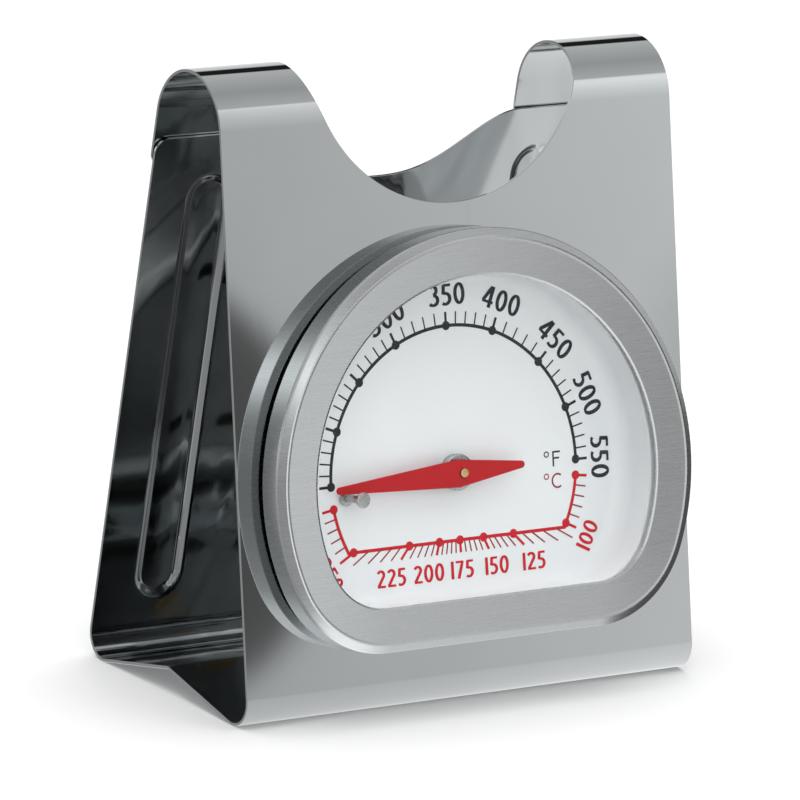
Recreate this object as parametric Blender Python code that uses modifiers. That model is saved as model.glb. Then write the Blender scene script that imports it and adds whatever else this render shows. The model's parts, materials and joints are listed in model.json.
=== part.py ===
"""Oven thermometer: one folded stainless strip that stands up, with a D-shaped dial gauge in it.

The stand is a flat blank, cut and embossed, then bent along a side profile. The gauge is a drawn
pan with a dial tray, glass and bezel in front, and a bimetal coil on the pointer's arbor behind.
World frame: metres, +X to the right of the dial, -Y out of the front, +Z up, feet on Z = 0.
"""

import math

import bmesh
import bpy
from mathutils import Matrix, Vector

MM = 0.001

# Stand: the strip and its side profile (depth runs forward from the rear foot, then height)
STAND_WIDTH = 86.0 * MM
SHEET = 0.5 * MM
FRONT_LEAN = math.radians(10.0)
BACK_LEAN = math.radians(9.0)
LOOP_RADIUS = 9.48 * MM
LOOP_CENTRE = Vector((17.98, 91.91)) * MM
LAP_STEP = 0.75 * MM
LAP_TAIL_Z = 83.6 * MM
BACK_TOP_Z = 88.55 * MM
FRONT_BEND_RADIUS = 4.2 * MM
REAR_BEND_RADIUS = 4.0 * MM
RIDGE_RADIUS = 1.2 * MM
RIDGE_FRONT_SLOPE = math.radians(11.8)
RIDGE_REAR_SLOPE = math.radians(11.6)
BEND_STEP = math.radians(9.0)
DEPTH_CENTRE = 21.662 * MM

# Stand: what is cut and pressed in the flat blank
SCOOP_RADIUS = 26.0 * MM
SCOOP_BOTTOM_Z = 79.5 * MM
SADDLE_DROP = 9.65 * MM
SADDLE_FLAT_X = 27.0 * MM
SADDLE_POWER = 1.31
CORNER_RADIUS = 2.4 * MM
RIB_X = 31.4 * MM
RIB_HALF_WIDTH = 3.8 * MM
RIB_DEPTH = 0.9 * MM
RIB_BOTTOM_Z = 8.3 * MM
RIB_TOP_Z = 82.4 * MM

# Gauge: the D-shaped outline of the bezel; every other outline is inset from it
GAUGE_Z = 36.7 * MM
BEZEL_RADIUS = 39.9 * MM
BEZEL_FLAT = 26.2 * MM
BEZEL_CORNER = 18.0 * MM
BEZEL_CENTRE_Y = -0.3 * MM
OUTLINE_STEPS = 32
CORNER_STEPS = 6

# Gauge: heights above the stand's front face, and insets from the bezel's outline
BEZEL_FACE = 6.7 * MM
BEZEL_REAR = 0.6 * MM
BEZEL_SHEET = 0.6 * MM
BEZEL_ROUND = 1.3 * MM
OPENING_INSET = 7.4 * MM
GLASS_FRONT = 5.95 * MM
GLASS_THICKNESS = 1.1 * MM
GLASS_INSET = 1.2 * MM
SEAL_THICKNESS = 0.45 * MM
SEAL_WIDTH = 4.8 * MM
PAN_SHEET = 0.5 * MM
TRAY_RIM = 4.1 * MM
TRAY_SHEET = 0.4 * MM
TRAY_WALL_INSET = 6.9 * MM
TRAY_FILLET = 3.0 * MM
DIAL_FACE = -3.6 * MM
CASE_FLANGE = 1.85 * MM
CASE_RIM = 3.5 * MM
CASE_RIM_INSET = 0.9 * MM
CASE_WALL_INSET = 5.6 * MM
CASE_BACK = -14.0 * MM
CASE_FILLET = 2.4 * MM
HOLE_INSET = 5.25 * MM
CLAMP_INSET = 5.3 * MM
CLAMP_FLANGE = 3.3 * MM
CLAMP_COLLAR = 3.4 * MM

# Gauge: turned pieces, the pointer and the coil
ARBOR_RADIUS = 0.75 * MM
ARBOR_FRONT = -0.45 * MM
ARBOR_REAR = -14.3 * MM
RUNNING_GAP = 0.12 * MM
SEAT_GAP = 0.15 * MM
BUSHING_RADIUS = 2.95 * MM
BUSHING_NECK = 1.8 * MM
BUSHING_FRONT = -2.1 * MM
POINTER_FACE = -0.8 * MM
POINTER_THICKNESS = 0.4 * MM
POINTER_TIP = 24.2 * MM
POINTER_TIP_HALF = 0.6 * MM
POINTER_TAIL = 11.5 * MM
POINTER_TAIL_HALF = 0.6 * MM
POINTER_HALF = 2.25 * MM
POINTER_WIDEST = 0.9 * MM
POINTER_REST = math.radians(181.6)
STOP_PIN_AT = Vector((-21.0, -2.2)) * MM
STOP_PIN_FLANGE = 1.25 * MM
STOP_PIN_SHANK = 0.65 * MM
STOP_PIN_NECK = 0.8 * MM
STOP_PIN_FRONT = 1.9 * MM
STOP_PIN_HEAD = 0.45 * MM
COIL_REAR = -11.6 * MM
COIL_WIDTH = 4.0 * MM
COIL_THICKNESS = 0.35 * MM
COIL_INNER = 2.6 * MM
COIL_OUTER = 10.6 * MM
COIL_TURNS = 4.25
COIL_STEPS_PER_TURN = 20
COLLET_RADIUS = 2.1 * MM
BEARING_NECK = 1.6 * MM
BEARING_FLANGE = 2.8 * MM
BEARING_REAR = -15.0 * MM
ANCHOR_RIVET_RADIUS = 0.6 * MM
ANCHOR_RIVET_HEAD = 1.1 * MM
ANCHOR_FOOT = 3.6 * MM
ANCHOR_LEAF = 0.6 * MM
VENT_COLUMNS = (-13.0 * MM, 0.0, 13.0 * MM)
VENT_ROWS = (19.5 * MM, -13.5 * MM)
VENT_HALF_WIDTH = 1.5 * MM
VENT_HALF_LENGTH = 5.0 * MM
ROUND_STEPS = 20

COLLECTION_NAME = "oven_thermometer"
CUTTER_COLLECTION = "cutters"

FINISHES = {
    "stand_steel": ((0.62, 0.64, 0.65), 0.16, 1.0),
    "bezel_steel": ((0.60, 0.61, 0.61), 0.34, 1.0),
    "case_steel": ((0.52, 0.53, 0.54), 0.38, 1.0),
    "clear_glass": ((0.92, 0.95, 0.95), 0.04, 0.0),
    "white_enamel": ((0.82, 0.83, 0.85), 0.30, 0.0),
    "red_enamel": ((0.56, 0.03, 0.04), 0.38, 0.0),
    "brass": ((0.70, 0.52, 0.26), 0.30, 1.0),
    "polished_steel": ((0.66, 0.67, 0.68), 0.14, 1.0),
    "bimetal": ((0.50, 0.46, 0.40), 0.42, 1.0),
    "seal_fibre": ((0.30, 0.30, 0.29), 0.85, 0.0),
}


# Scene and helpers

def clear_scene():
    """Remove every object and collection that the file starts with."""
    for item in list(bpy.data.objects):
        bpy.data.objects.remove(item, do_unlink=True)
    for group in list(bpy.data.collections):
        bpy.data.collections.remove(group)


def new_collection(name):
    group = bpy.data.collections.new(name)
    bpy.context.scene.collection.children.link(group)
    return group


def make_material(name):
    colour, roughness, metallic = FINISHES[name]
    material = bpy.data.materials.new(name)
    material.use_nodes = True
    shader = material.node_tree.nodes["Principled BSDF"]
    shader.inputs["Base Color"].default_value = (*colour, 1.0)
    shader.inputs["Roughness"].default_value = roughness
    shader.inputs["Metallic"].default_value = metallic
    if name == "clear_glass":
        shader.inputs["Transmission Weight"].default_value = 1.0
    return material


def add_part(name, mesh, finish, parent=None, location=(0, 0, 0)):
    """Link a mesh as one named part with its own material."""
    part = bpy.data.objects.new(name, mesh)
    parts.objects.link(part)
    mesh.materials.clear()
    mesh.materials.append(materials[finish])
    part.parent = parent
    part.location = location
    return part


def add_cutter(name, mesh, parent=None, location=(0, 0, 0)):
    cutter = bpy.data.objects.new(name, mesh)
    cutters.objects.link(cutter)
    cutter.parent = parent
    cutter.location = location
    cutter.hide_render = True
    cutter.display_type = "WIRE"
    return cutter


def cut(part, cutter, operation="DIFFERENCE"):
    boolean = part.modifiers.new(f"{operation.lower()}_{cutter.name}", "BOOLEAN")
    boolean.operation = operation
    boolean.solver = "EXACT"
    boolean.object = cutter


def smooth(mesh, angle_degrees=30.0):
    mesh.shade_smooth()
    mesh.set_sharp_from_angle(angle=math.radians(angle_degrees))


def baked(source):
    """The evaluated mesh of an object, in the object's own frame."""
    bpy.context.view_layer.update()
    depsgraph = bpy.context.evaluated_depsgraph_get()
    return bpy.data.meshes.new_from_object(source.evaluated_get(depsgraph))


def plate(name, outline, thickness, hole=None):
    """A flat plate: a filled 2D curve, extruded both ways from Z = 0, as a closed mesh."""
    curve = bpy.data.curves.new(name, "CURVE")
    curve.dimensions = "2D"
    curve.fill_mode = "BOTH"
    curve.extrude = thickness / 2
    for points in filter(None, (outline, hole)):
        spline = curve.splines.new("POLY")
        spline.points.add(len(points) - 1)
        for point, (x, y) in zip(spline.points, points):
            point.co = (x, y, 0.0, 1.0)
        spline.use_cyclic_u = True
    holder = bpy.data.objects.new(name, curve)
    bpy.context.scene.collection.objects.link(holder)
    mesh = baked(holder)
    bpy.data.objects.remove(holder)
    shape = bmesh.new()
    shape.from_mesh(mesh)
    bmesh.ops.remove_doubles(shape, verts=shape.verts, dist=0.001 * MM)
    bmesh.ops.recalc_face_normals(shape, faces=shape.faces)
    shape.to_mesh(mesh)
    shape.free()
    return mesh


def turned(name, profile, finish, parent, ring=False, location=(0, 0, 0), steps=ROUND_STEPS):
    """A turned piece: a profile of (radius, height), down its outer side, with a Screw modifier."""
    mesh = bpy.data.meshes.new(name)
    edges = [(i, i + 1) for i in range(len(profile) - 1)]
    if ring:
        edges.append((len(profile) - 1, 0))
    mesh.from_pydata([(radius, 0.0, height) for radius, height in profile], edges, [])
    part = add_part(name, mesh, finish, parent, location)
    screw = part.modifiers.new("turn", "SCREW")
    screw.axis = "Z"
    screw.angle = math.tau
    screw.steps = steps
    screw.render_steps = steps
    screw.use_merge_vertices = True
    screw.merge_threshold = 0.001 * MM
    screw.use_smooth_shade = True
    return part


def arc_points(centre, radius, start, end, steps):
    """Points on an arc from start to end, both included, angles in radians."""
    points = []
    for step in range(steps + 1):
        angle = start + (end - start) * step / steps
        points.append((centre[0] + radius * math.cos(angle), centre[1] + radius * math.sin(angle)))
    return points


def stadium(centre, half_width, half_length, steps=8):
    """A slot outline along Y, round at both ends."""
    x, y = centre
    reach = half_length - half_width
    top = arc_points((x, y + reach), half_width, 0.0, math.pi, steps)
    bottom = arc_points((x, y - reach), half_width, math.pi, math.tau, steps)
    return top + bottom


# Stand

def bend_centre(first, second, radius, side):
    """Centre of a bend that touches two lines; a line is (point, unit normal)."""
    rows = Matrix(((first[1].x, first[1].y), (second[1].x, second[1].y)))
    offsets = Vector((first[1].dot(first[0]) + side * radius, second[1].dot(second[0]) + side * radius))
    return rows.inverted() @ offsets


def polar(angle):
    return Vector((math.cos(angle), math.sin(angle)))


def side_profile():
    """The strip's middle line as (kind, start, end, centre, angles), from the tail to the lap.

    Depth is the first coordinate and grows forward, height is the second.
    """
    half_pi = math.pi / 2
    front_normal = polar(FRONT_LEAN)
    tail_normal = polar(math.pi - BACK_LEAN)
    tail_up = Vector((math.sin(BACK_LEAN), math.cos(BACK_LEAN)))
    front_down = Vector((math.sin(FRONT_LEAN), -math.cos(FRONT_LEAN)))

    loop_rear = LOOP_CENTRE + LOOP_RADIUS * tail_normal
    loop_front = LOOP_CENTRE + LOOP_RADIUS * front_normal
    tail_end = loop_rear - tail_up * ((loop_rear.y - LAP_TAIL_Z) / tail_up.y)

    foot_height = FRONT_BEND_RADIUS + SHEET / 2
    front_run = (loop_front.y - foot_height - FRONT_BEND_RADIUS * front_normal.y) / -front_down.y
    front_end = loop_front + front_down * front_run
    front_centre = front_end - FRONT_BEND_RADIUS * front_normal

    lap_origin = loop_rear - tail_normal * LAP_STEP
    heel_height = REAR_BEND_RADIUS + SHEET / 2
    back_low = lap_origin - tail_up * (
        (lap_origin.y - heel_height - REAR_BEND_RADIUS * tail_normal.y) / tail_up.y)
    rear_centre = back_low - REAR_BEND_RADIUS * tail_normal
    back_top = lap_origin + tail_up * ((BACK_TOP_Z - lap_origin.y) / tail_up.y)

    front_rise = polar(half_pi - RIDGE_FRONT_SLOPE)
    rear_rise = polar(half_pi + RIDGE_REAR_SLOPE)
    ramp_front = front_centre - FRONT_BEND_RADIUS * front_rise
    ramp_rear = rear_centre - REAR_BEND_RADIUS * rear_rise
    ridge_centre = bend_centre((ramp_front, front_rise), (ramp_rear, rear_rise), RIDGE_RADIUS, -1)

    return [
        ("line", tail_end, loop_rear),
        ("arc", LOOP_CENTRE, LOOP_RADIUS, math.pi - BACK_LEAN, FRONT_LEAN),
        ("line", loop_front, front_end),
        ("arc", front_centre, FRONT_BEND_RADIUS, FRONT_LEAN, -half_pi - RIDGE_FRONT_SLOPE),
        ("line", ramp_front, ridge_centre + RIDGE_RADIUS * front_rise),
        ("arc", ridge_centre, RIDGE_RADIUS, half_pi - RIDGE_FRONT_SLOPE, half_pi + RIDGE_REAR_SLOPE),
        ("line", ridge_centre + RIDGE_RADIUS * rear_rise, ramp_rear),
        ("arc", rear_centre, REAR_BEND_RADIUS, -half_pi + RIDGE_REAR_SLOPE, -math.pi - BACK_LEAN),
        ("line", back_low, back_top),
    ]


def piece_length(piece):
    if piece[0] == "line":
        return (piece[2] - piece[1]).length
    return piece[2] * abs(piece[4] - piece[3])


def on_profile(pieces, distance):
    """Point and outward normal of the strip at a distance along its middle line."""
    last = len(pieces) - 1
    for index, piece in enumerate(pieces):
        length = piece_length(piece)
        if distance <= length or index == last:
            break
        distance -= length
    if piece[0] == "line":
        along = (piece[2] - piece[1]).normalized()
        return piece[1] + along * distance, Vector((-along.y, along.x))
    turn = math.copysign(1.0, piece[4] - piece[3])
    radial = polar(piece[3] + turn * distance / piece[2])
    return piece[1] + radial * piece[2], radial * -turn


def bend_lines(pieces):
    """Distances along the strip where the blank needs an edge, so that it can bend."""
    lines = []
    start = 0.0
    for piece in pieces[:-1]:
        length = piece_length(piece)
        if piece[0] == "arc":
            steps = max(2, round(abs(piece[4] - piece[3]) / BEND_STEP))
            lines += [start + length * step / steps for step in range(steps + 1)]
        start += length
    return lines


def distance_at_height(pieces, index, height):
    """Distance along the strip of a height on one of its straight pieces."""
    start = sum(piece_length(piece) for piece in pieces[:index])
    low, high = pieces[index][1], pieces[index][2]
    return start + piece_length(pieces[index]) * (height - low.y) / (high.y - low.y)


def scoop_outline(centre_s):
    """The U between the two ears: open at the tail's end, round at the bottom."""
    beyond = -10.0 * MM
    bottom = arc_points((0.0, centre_s), SCOOP_RADIUS, math.pi, 0.0, 28)
    return [(-SCOOP_RADIUS, beyond)] + bottom + [(SCOOP_RADIUS, beyond)]


def saddle_outline(top_s):
    """The wide S-sided dip in the back panel's top edge, and the blank beyond it."""
    steps = 14
    beyond = top_s + 10.0 * MM
    right = []
    for step in range(steps + 1):
        x = SADDLE_FLAT_X * step / steps
        fall = SADDLE_DROP * 0.5 * (1.0 + math.cos(math.pi * (x / SADDLE_FLAT_X) ** SADDLE_POWER))
        right.append((x, top_s - fall))
    left = [(-x, s) for x, s in right[:0:-1]]
    return [(-SADDLE_FLAT_X, beyond)] + left + right + [(SADDLE_FLAT_X, beyond)]


def corner_outline(x_side, s_end, s_in):
    """The bit that rounds one corner of the blank: its square corner less a quarter disc."""
    x_corner = x_side * STAND_WIDTH / 2
    reach = CORNER_RADIUS
    centre = (x_corner - x_side * reach, s_end + s_in * reach)
    start = math.atan2(-s_in, 0.0)
    end = 0.0 if x_side > 0 else -s_in * math.pi
    arc = arc_points(centre, reach, start, end, 5)
    over = 1.0 * MM
    outer = [
        (x_corner + x_side * over, centre[1]),
        (x_corner + x_side * over, s_end - s_in * over),
        (centre[0], s_end - s_in * over),
    ]
    return arc + outer


def d_outline(inset):
    """The gauge's outline: a circle with a flat foot and wide round corners, anticlockwise."""
    radius = BEZEL_RADIUS - inset
    corner = BEZEL_CORNER - inset
    corner_y = BEZEL_CORNER - BEZEL_FLAT
    corner_x = math.sqrt((BEZEL_RADIUS - BEZEL_CORNER) ** 2 - corner_y ** 2)
    meet = math.atan2(corner_y, corner_x)
    y = BEZEL_CENTRE_Y
    crown = arc_points((0.0, y), radius, meet, math.pi - meet, OUTLINE_STEPS)
    left = arc_points((-corner_x, y + corner_y), corner, math.pi - meet, 1.5 * math.pi, CORNER_STEPS)
    right = arc_points((corner_x, y + corner_y), corner, -0.5 * math.pi, meet, CORNER_STEPS)
    return crown + left[1:] + right[:-1]


def blank_mesh(length, lines):
    """The flat blank, X across and Y along it, scored where it will bend."""
    shape = bmesh.new()
    bmesh.ops.create_cube(shape, size=1.0)
    bmesh.ops.scale(shape, vec=(STAND_WIDTH, length, SHEET), verts=shape.verts)
    bmesh.ops.translate(shape, vec=(0.0, length / 2, 0.0), verts=shape.verts)
    for distance in lines:
        geometry = shape.verts[:] + shape.edges[:] + shape.faces[:]
        bmesh.ops.bisect_plane(
            shape, geom=geometry, dist=0.0001 * MM, plane_co=(0, distance, 0), plane_no=(0, 1, 0))
    mesh = bpy.data.meshes.new("stand_blank")
    shape.to_mesh(mesh)
    shape.free()
    return mesh


def press_ribs(blank, pieces):
    """Two long ribs in the back panel, pressed out to the rear."""
    low = distance_at_height(pieces, 8, RIB_BOTTOM_Z)
    high = distance_at_height(pieces, 8, RIB_TOP_Z)
    for side in (-1, 1):
        centre = (side * RIB_X, (low + high) / 2)
        half_length = (high - low) / 2
        boss = plate("rib_boss", stadium(centre, RIB_HALF_WIDTH, half_length), SHEET + RIB_DEPTH)
        cut(blank, add_cutter("rib_boss", boss, location=(0, 0, -RIB_DEPTH / 2)), "UNION")
    for side in (-1, 1):
        centre = (side * RIB_X, (low + high) / 2)
        half_length = (high - low) / 2 - SHEET
        hollow = plate("rib_hollow", stadium(centre, RIB_HALF_WIDTH - SHEET, half_length), 4 * SHEET)
        lift = 5 * SHEET / 2 - RIB_DEPTH
        cut(blank, add_cutter("rib_hollow", hollow, location=(0, 0, lift)))


def build_stand():
    """Cut, press and bend the blank into the stand, and give the gauge's seat on it."""
    pieces = side_profile()
    length = sum(piece_length(piece) for piece in pieces)
    holder = add_cutter("stand_blank", blank_mesh(length, bend_lines(pieces)))

    scoop_s = distance_at_height(pieces, 2, SCOOP_BOTTOM_Z) - SCOOP_RADIUS
    gauge_s = distance_at_height(pieces, 2, GAUGE_Z)
    gauge_hole = [(x, gauge_s - y) for x, y in d_outline(HOLE_INSET)]
    outlines = [scoop_outline(scoop_s), saddle_outline(length), gauge_hole]
    outlines += [corner_outline(side, 0.0, 1) for side in (-1, 1)]
    outlines += [corner_outline(side, length, -1) for side in (-1, 1)]
    press_ribs(holder, pieces)
    for outline in outlines:
        cut(holder, add_cutter("blank_cutter", plate("blank_cutter", outline, 6 * MM)))

    mesh = baked(holder)
    for vertex in mesh.vertices:
        across, distance, lift = vertex.co
        point, normal = on_profile(pieces, distance)
        bent = point + normal * -lift
        vertex.co = (across, DEPTH_CENTRE - bent.x, bent.y)
    shape = bmesh.new()
    shape.from_mesh(mesh)
    bmesh.ops.remove_doubles(shape, verts=shape.verts, dist=0.002 * MM)
    bmesh.ops.recalc_face_normals(shape, faces=shape.faces)
    shape.to_mesh(mesh)
    shape.free()
    smooth(mesh, 20.0)
    add_part("stand_sheet", mesh, "stand_steel")

    seat, outward = on_profile(pieces, gauge_s)
    seat = seat + outward * SHEET / 2
    return Vector((0.0, DEPTH_CENTRE - seat.x, seat.y))


# Gauge

def d_loft(name, rings, closed=False):
    """A D-shaped shell: rings of (inset, height) joined in order, capped or closed on itself."""
    shape = bmesh.new()
    loops = []
    for inset, height in rings:
        loops.append([shape.verts.new((x, y, height)) for x, y in d_outline(inset)])
    count = len(loops[0])
    pairs = list(zip(loops, loops[1:]))
    if closed:
        pairs.append((loops[-1], loops[0]))
    else:
        shape.faces.new(loops[0])
        shape.faces.new(loops[-1])
    for lower, upper in pairs:
        for i in range(count):
            j = (i + 1) % count
            shape.faces.new((lower[i], lower[j], upper[j], upper[i]))
    bmesh.ops.recalc_face_normals(shape, faces=shape.faces)
    mesh = bpy.data.meshes.new(name)
    shape.to_mesh(mesh)
    shape.free()
    smooth(mesh, 35.0)
    return mesh


def fillet(inset, height, radius, start_degrees, end_degrees, steps=3):
    """Rings round a corner of the section; the centre is given, angle 0 points inwards."""
    rings = []
    for step in range(steps + 1):
        angle = math.radians(start_degrees + (end_degrees - start_degrees) * step / steps)
        rings.append((inset + radius * math.cos(angle), height + radius * math.sin(angle)))
    return rings


def build_bezel(gauge):
    outer = fillet(BEZEL_ROUND, BEZEL_FACE - BEZEL_ROUND, BEZEL_ROUND, 180, 90)
    inner_round = BEZEL_ROUND - BEZEL_SHEET
    inner = fillet(BEZEL_ROUND, BEZEL_FACE - BEZEL_ROUND, inner_round, 90, 180, 2)
    lip = OPENING_INSET - BEZEL_SHEET / 2
    rolled = 2.0 * MM
    rings = [(rolled, BEZEL_REAR), (BEZEL_SHEET / 2, BEZEL_REAR), (0.0, BEZEL_REAR + BEZEL_SHEET / 2)]
    rings += outer
    rings += [(lip, BEZEL_FACE), (OPENING_INSET, BEZEL_FACE - BEZEL_SHEET / 2)]
    rings += [(OPENING_INSET, BEZEL_FACE - BEZEL_SHEET)]
    rings += inner
    rings += [(BEZEL_SHEET, BEZEL_REAR + BEZEL_SHEET), (rolled, BEZEL_REAR + BEZEL_SHEET)]
    add_part("bezel", d_loft("bezel", rings, closed=True), "bezel_steel", gauge)


def build_glass(gauge):
    edge = 0.25 * MM
    rings = [
        (GLASS_INSET + edge, GLASS_FRONT),
        (GLASS_INSET, GLASS_FRONT - edge),
        (GLASS_INSET, GLASS_FRONT - GLASS_THICKNESS),
    ]
    add_part("glass_lens", d_loft("glass_lens", rings), "clear_glass", gauge)


def build_lens_seal(gauge):
    """Flat heat-proof ring that beds the glass on the tray's rim, hidden by the bezel."""
    front = GLASS_FRONT - GLASS_THICKNESS - SEAT_GAP
    rear = front - SEAL_THICKNESS
    inner = GLASS_INSET + SEAL_WIDTH
    rings = [(GLASS_INSET, front), (inner, front), (inner, rear), (GLASS_INSET, rear)]
    add_part("lens_seal", d_loft("lens_seal", rings, closed=True), "seal_fibre", gauge)


def build_dial_tray(gauge):
    """White tray: flat dial floor, wall curving up, and a rim that lies under the glass."""
    floor_inset = TRAY_WALL_INSET + TRAY_FILLET
    centre_z = DIAL_FACE + TRAY_FILLET
    wall_back = TRAY_WALL_INSET - TRAY_SHEET
    rim_inset = 1.0 * MM
    rings = fillet(floor_inset, centre_z, TRAY_FILLET, 270, 180, 4)
    rings += [(TRAY_WALL_INSET, TRAY_RIM), (rim_inset, TRAY_RIM)]
    rings += [(rim_inset, TRAY_RIM - TRAY_SHEET), (wall_back, TRAY_RIM - TRAY_SHEET)]
    rings += fillet(floor_inset, centre_z, TRAY_FILLET + TRAY_SHEET, 180, 270, 4)
    tray = add_part("dial_tray", d_loft("dial_tray", rings), "white_enamel", gauge)
    holes = (((0.0, 0.0), BUSHING_NECK), (STOP_PIN_AT, STOP_PIN_NECK))
    for (x, y), radius in holes:
        outline = arc_points((0, 0), radius + SEAT_GAP, 0.0, math.tau, ROUND_STEPS)[:-1]
        cutter = add_cutter("tray_hole", plate("tray_hole", outline, 4 * MM), gauge, (x, y, DIAL_FACE))
        cut(tray, cutter)


def build_case(gauge):
    """Rear pan: flange and upturned rim in front of the stand, deep body through it, vents behind."""
    rim_inner = CASE_RIM_INSET + PAN_SHEET
    wall_inner = CASE_WALL_INSET + PAN_SHEET
    floor_inset = CASE_WALL_INSET + CASE_FILLET
    centre_z = CASE_BACK + CASE_FILLET
    rings = fillet(floor_inset, centre_z, CASE_FILLET - PAN_SHEET, 270, 180)
    rings += [(wall_inner, CASE_FLANGE), (rim_inner, CASE_FLANGE), (rim_inner, CASE_RIM)]
    rings += [(CASE_RIM_INSET, CASE_RIM), (CASE_RIM_INSET, CASE_FLANGE - PAN_SHEET)]
    rings += [(CASE_WALL_INSET, CASE_FLANGE - PAN_SHEET)]
    rings += fillet(floor_inset, centre_z, CASE_FILLET, 180, 270)
    case = add_part("case_pan", d_loft("case_pan", rings), "case_steel", gauge)
    outline = arc_points((0, 0), BEARING_NECK + SEAT_GAP, 0.0, math.tau, ROUND_STEPS)[:-1]
    cut(case, add_cutter("bearing_hole", plate("bearing_hole", outline, 4 * MM), gauge, (0, 0, CASE_BACK)))
    for x in VENT_COLUMNS:
        for y in VENT_ROWS:
            slot = plate("vent", stadium((0.0, 0.0), VENT_HALF_WIDTH, VENT_HALF_LENGTH, 6), 4 * MM)
            vent = add_cutter("vent", slot, gauge, (x, y, CASE_BACK))
            vent.rotation_euler = (0.0, 0.0, math.pi / 2)
            cut(case, vent)


def build_clamp_ring(gauge):
    """Push-on ring that holds the case against the stand from behind."""
    front = -SHEET - SEAT_GAP
    collar_outer = CLAMP_INSET - PAN_SHEET
    flange_outer = CLAMP_INSET - CLAMP_FLANGE
    rings = [
        (CLAMP_INSET, front),
        (flange_outer, front),
        (flange_outer, front - PAN_SHEET),
        (collar_outer, front - PAN_SHEET),
        (collar_outer, front - CLAMP_COLLAR),
        (CLAMP_INSET, front - CLAMP_COLLAR),
    ]
    add_part("clamp_ring", d_loft("clamp_ring", rings, closed=True), "case_steel", gauge)


def build_bushing(gauge):
    """Polished front bearing of the arbor, riveted through the dial."""
    bore = ARBOR_RADIUS + RUNNING_GAP
    chamfer = 0.2 * MM
    front_seat = DIAL_FACE + SEAT_GAP
    rear_seat = DIAL_FACE - TRAY_SHEET - SEAT_GAP
    flare = 0.7 * MM
    profile = [
        (bore, BUSHING_FRONT),
        (BUSHING_RADIUS - chamfer, BUSHING_FRONT),
        (BUSHING_RADIUS, BUSHING_FRONT - chamfer),
        (BUSHING_RADIUS, front_seat),
        (BUSHING_NECK, front_seat),
        (BUSHING_NECK, rear_seat),
        (BUSHING_NECK + flare, rear_seat),
        (BUSHING_NECK + flare / 2, rear_seat - flare),
        (bore, rear_seat - flare),
    ]
    turned("arbor_bushing", profile, "polished_steel", gauge, ring=True)


def build_stop_pin(gauge):
    """Spool-shaped pin: the pointer rests against its thin shank when the oven is cold."""
    chamfer = 0.15 * MM
    front_seat = DIAL_FACE + SEAT_GAP
    rear_seat = DIAL_FACE - TRAY_SHEET - SEAT_GAP
    rivet = 0.5 * MM
    profile = [
        (0.0, STOP_PIN_FRONT),
        (STOP_PIN_FLANGE - chamfer, STOP_PIN_FRONT),
        (STOP_PIN_FLANGE, STOP_PIN_FRONT - chamfer),
        (STOP_PIN_FLANGE, STOP_PIN_FRONT - STOP_PIN_HEAD),
        (STOP_PIN_SHANK, STOP_PIN_FRONT - STOP_PIN_HEAD),
        (STOP_PIN_SHANK, front_seat + STOP_PIN_HEAD),
        (STOP_PIN_FLANGE, front_seat + STOP_PIN_HEAD),
        (STOP_PIN_FLANGE, front_seat),
        (STOP_PIN_NECK, front_seat),
        (STOP_PIN_NECK, rear_seat),
        (STOP_PIN_NECK + rivet, rear_seat),
        (STOP_PIN_NECK, rear_seat - rivet),
        (0.0, rear_seat - rivet),
    ]
    turned("stop_pin", profile, "polished_steel", gauge, location=(*STOP_PIN_AT, 0.0))


def build_rear_bearing(gauge):
    """Brass cup in the middle of the case's back that carries the arbor's rear end."""
    bore = ARBOR_RADIUS + RUNNING_GAP
    inner_seat = CASE_BACK + PAN_SHEET + SEAT_GAP
    outer_seat = CASE_BACK - SEAT_GAP
    flange = 0.7 * MM
    bore_end = ARBOR_REAR - RUNNING_GAP
    profile = [
        (bore, inner_seat + flange),
        (BEARING_FLANGE, inner_seat + flange),
        (BEARING_FLANGE, inner_seat),
        (BEARING_NECK, inner_seat),
        (BEARING_NECK, outer_seat),
        (BEARING_FLANGE, outer_seat),
        (BEARING_FLANGE - flange / 2, BEARING_REAR),
        (0.0, BEARING_REAR),
        (0.0, bore_end),
        (bore, bore_end),
    ]
    turned("rear_bearing", profile, "brass", gauge, ring=True)


def build_arbor(pivot):
    """Brass spindle from the rear bearing to the pointer, domed where it shows."""
    dome = 0.15 * MM
    profile = [
        (0.0, ARBOR_FRONT),
        (ARBOR_RADIUS - dome, ARBOR_FRONT),
        (ARBOR_RADIUS, ARBOR_FRONT - dome),
        (ARBOR_RADIUS, ARBOR_REAR + dome),
        (ARBOR_RADIUS - dome, ARBOR_REAR),
        (0.0, ARBOR_REAR),
    ]
    turned("arbor", profile, "brass", pivot)


def build_pointer(pivot):
    """Red kite-shaped blade: long reading end, widest just past the pivot, short blunt tail."""
    tip = arc_points((POINTER_TIP - POINTER_TIP_HALF, 0.0), POINTER_TIP_HALF, -1.3, 1.3, 6)
    outline = tip + [
        (POINTER_WIDEST, POINTER_HALF),
        (-POINTER_TAIL, POINTER_TAIL_HALF),
        (-POINTER_TAIL, -POINTER_TAIL_HALF),
        (POINTER_WIDEST, -POINTER_HALF),
    ]
    hole = arc_points((0, 0), ARBOR_RADIUS + RUNNING_GAP, 0.0, math.tau, ROUND_STEPS)[:-1]
    mesh = plate("pointer", outline, POINTER_THICKNESS, hole)
    middle = POINTER_FACE - POINTER_THICKNESS / 2
    add_part("pointer", mesh, "red_enamel", pivot, (0, 0, middle))


def build_pointer_washer(pivot):
    """Thin brass spacer that keeps the pointer off the bushing."""
    bore = ARBOR_RADIUS + RUNNING_GAP
    rim = 1.5 * MM
    top = POINTER_FACE - POINTER_THICKNESS - RUNNING_GAP
    base = BUSHING_FRONT + RUNNING_GAP
    profile = [(bore, top), (rim, top), (rim, base), (bore, base)]
    turned("pointer_washer", profile, "brass", pivot, ring=True)


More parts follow.
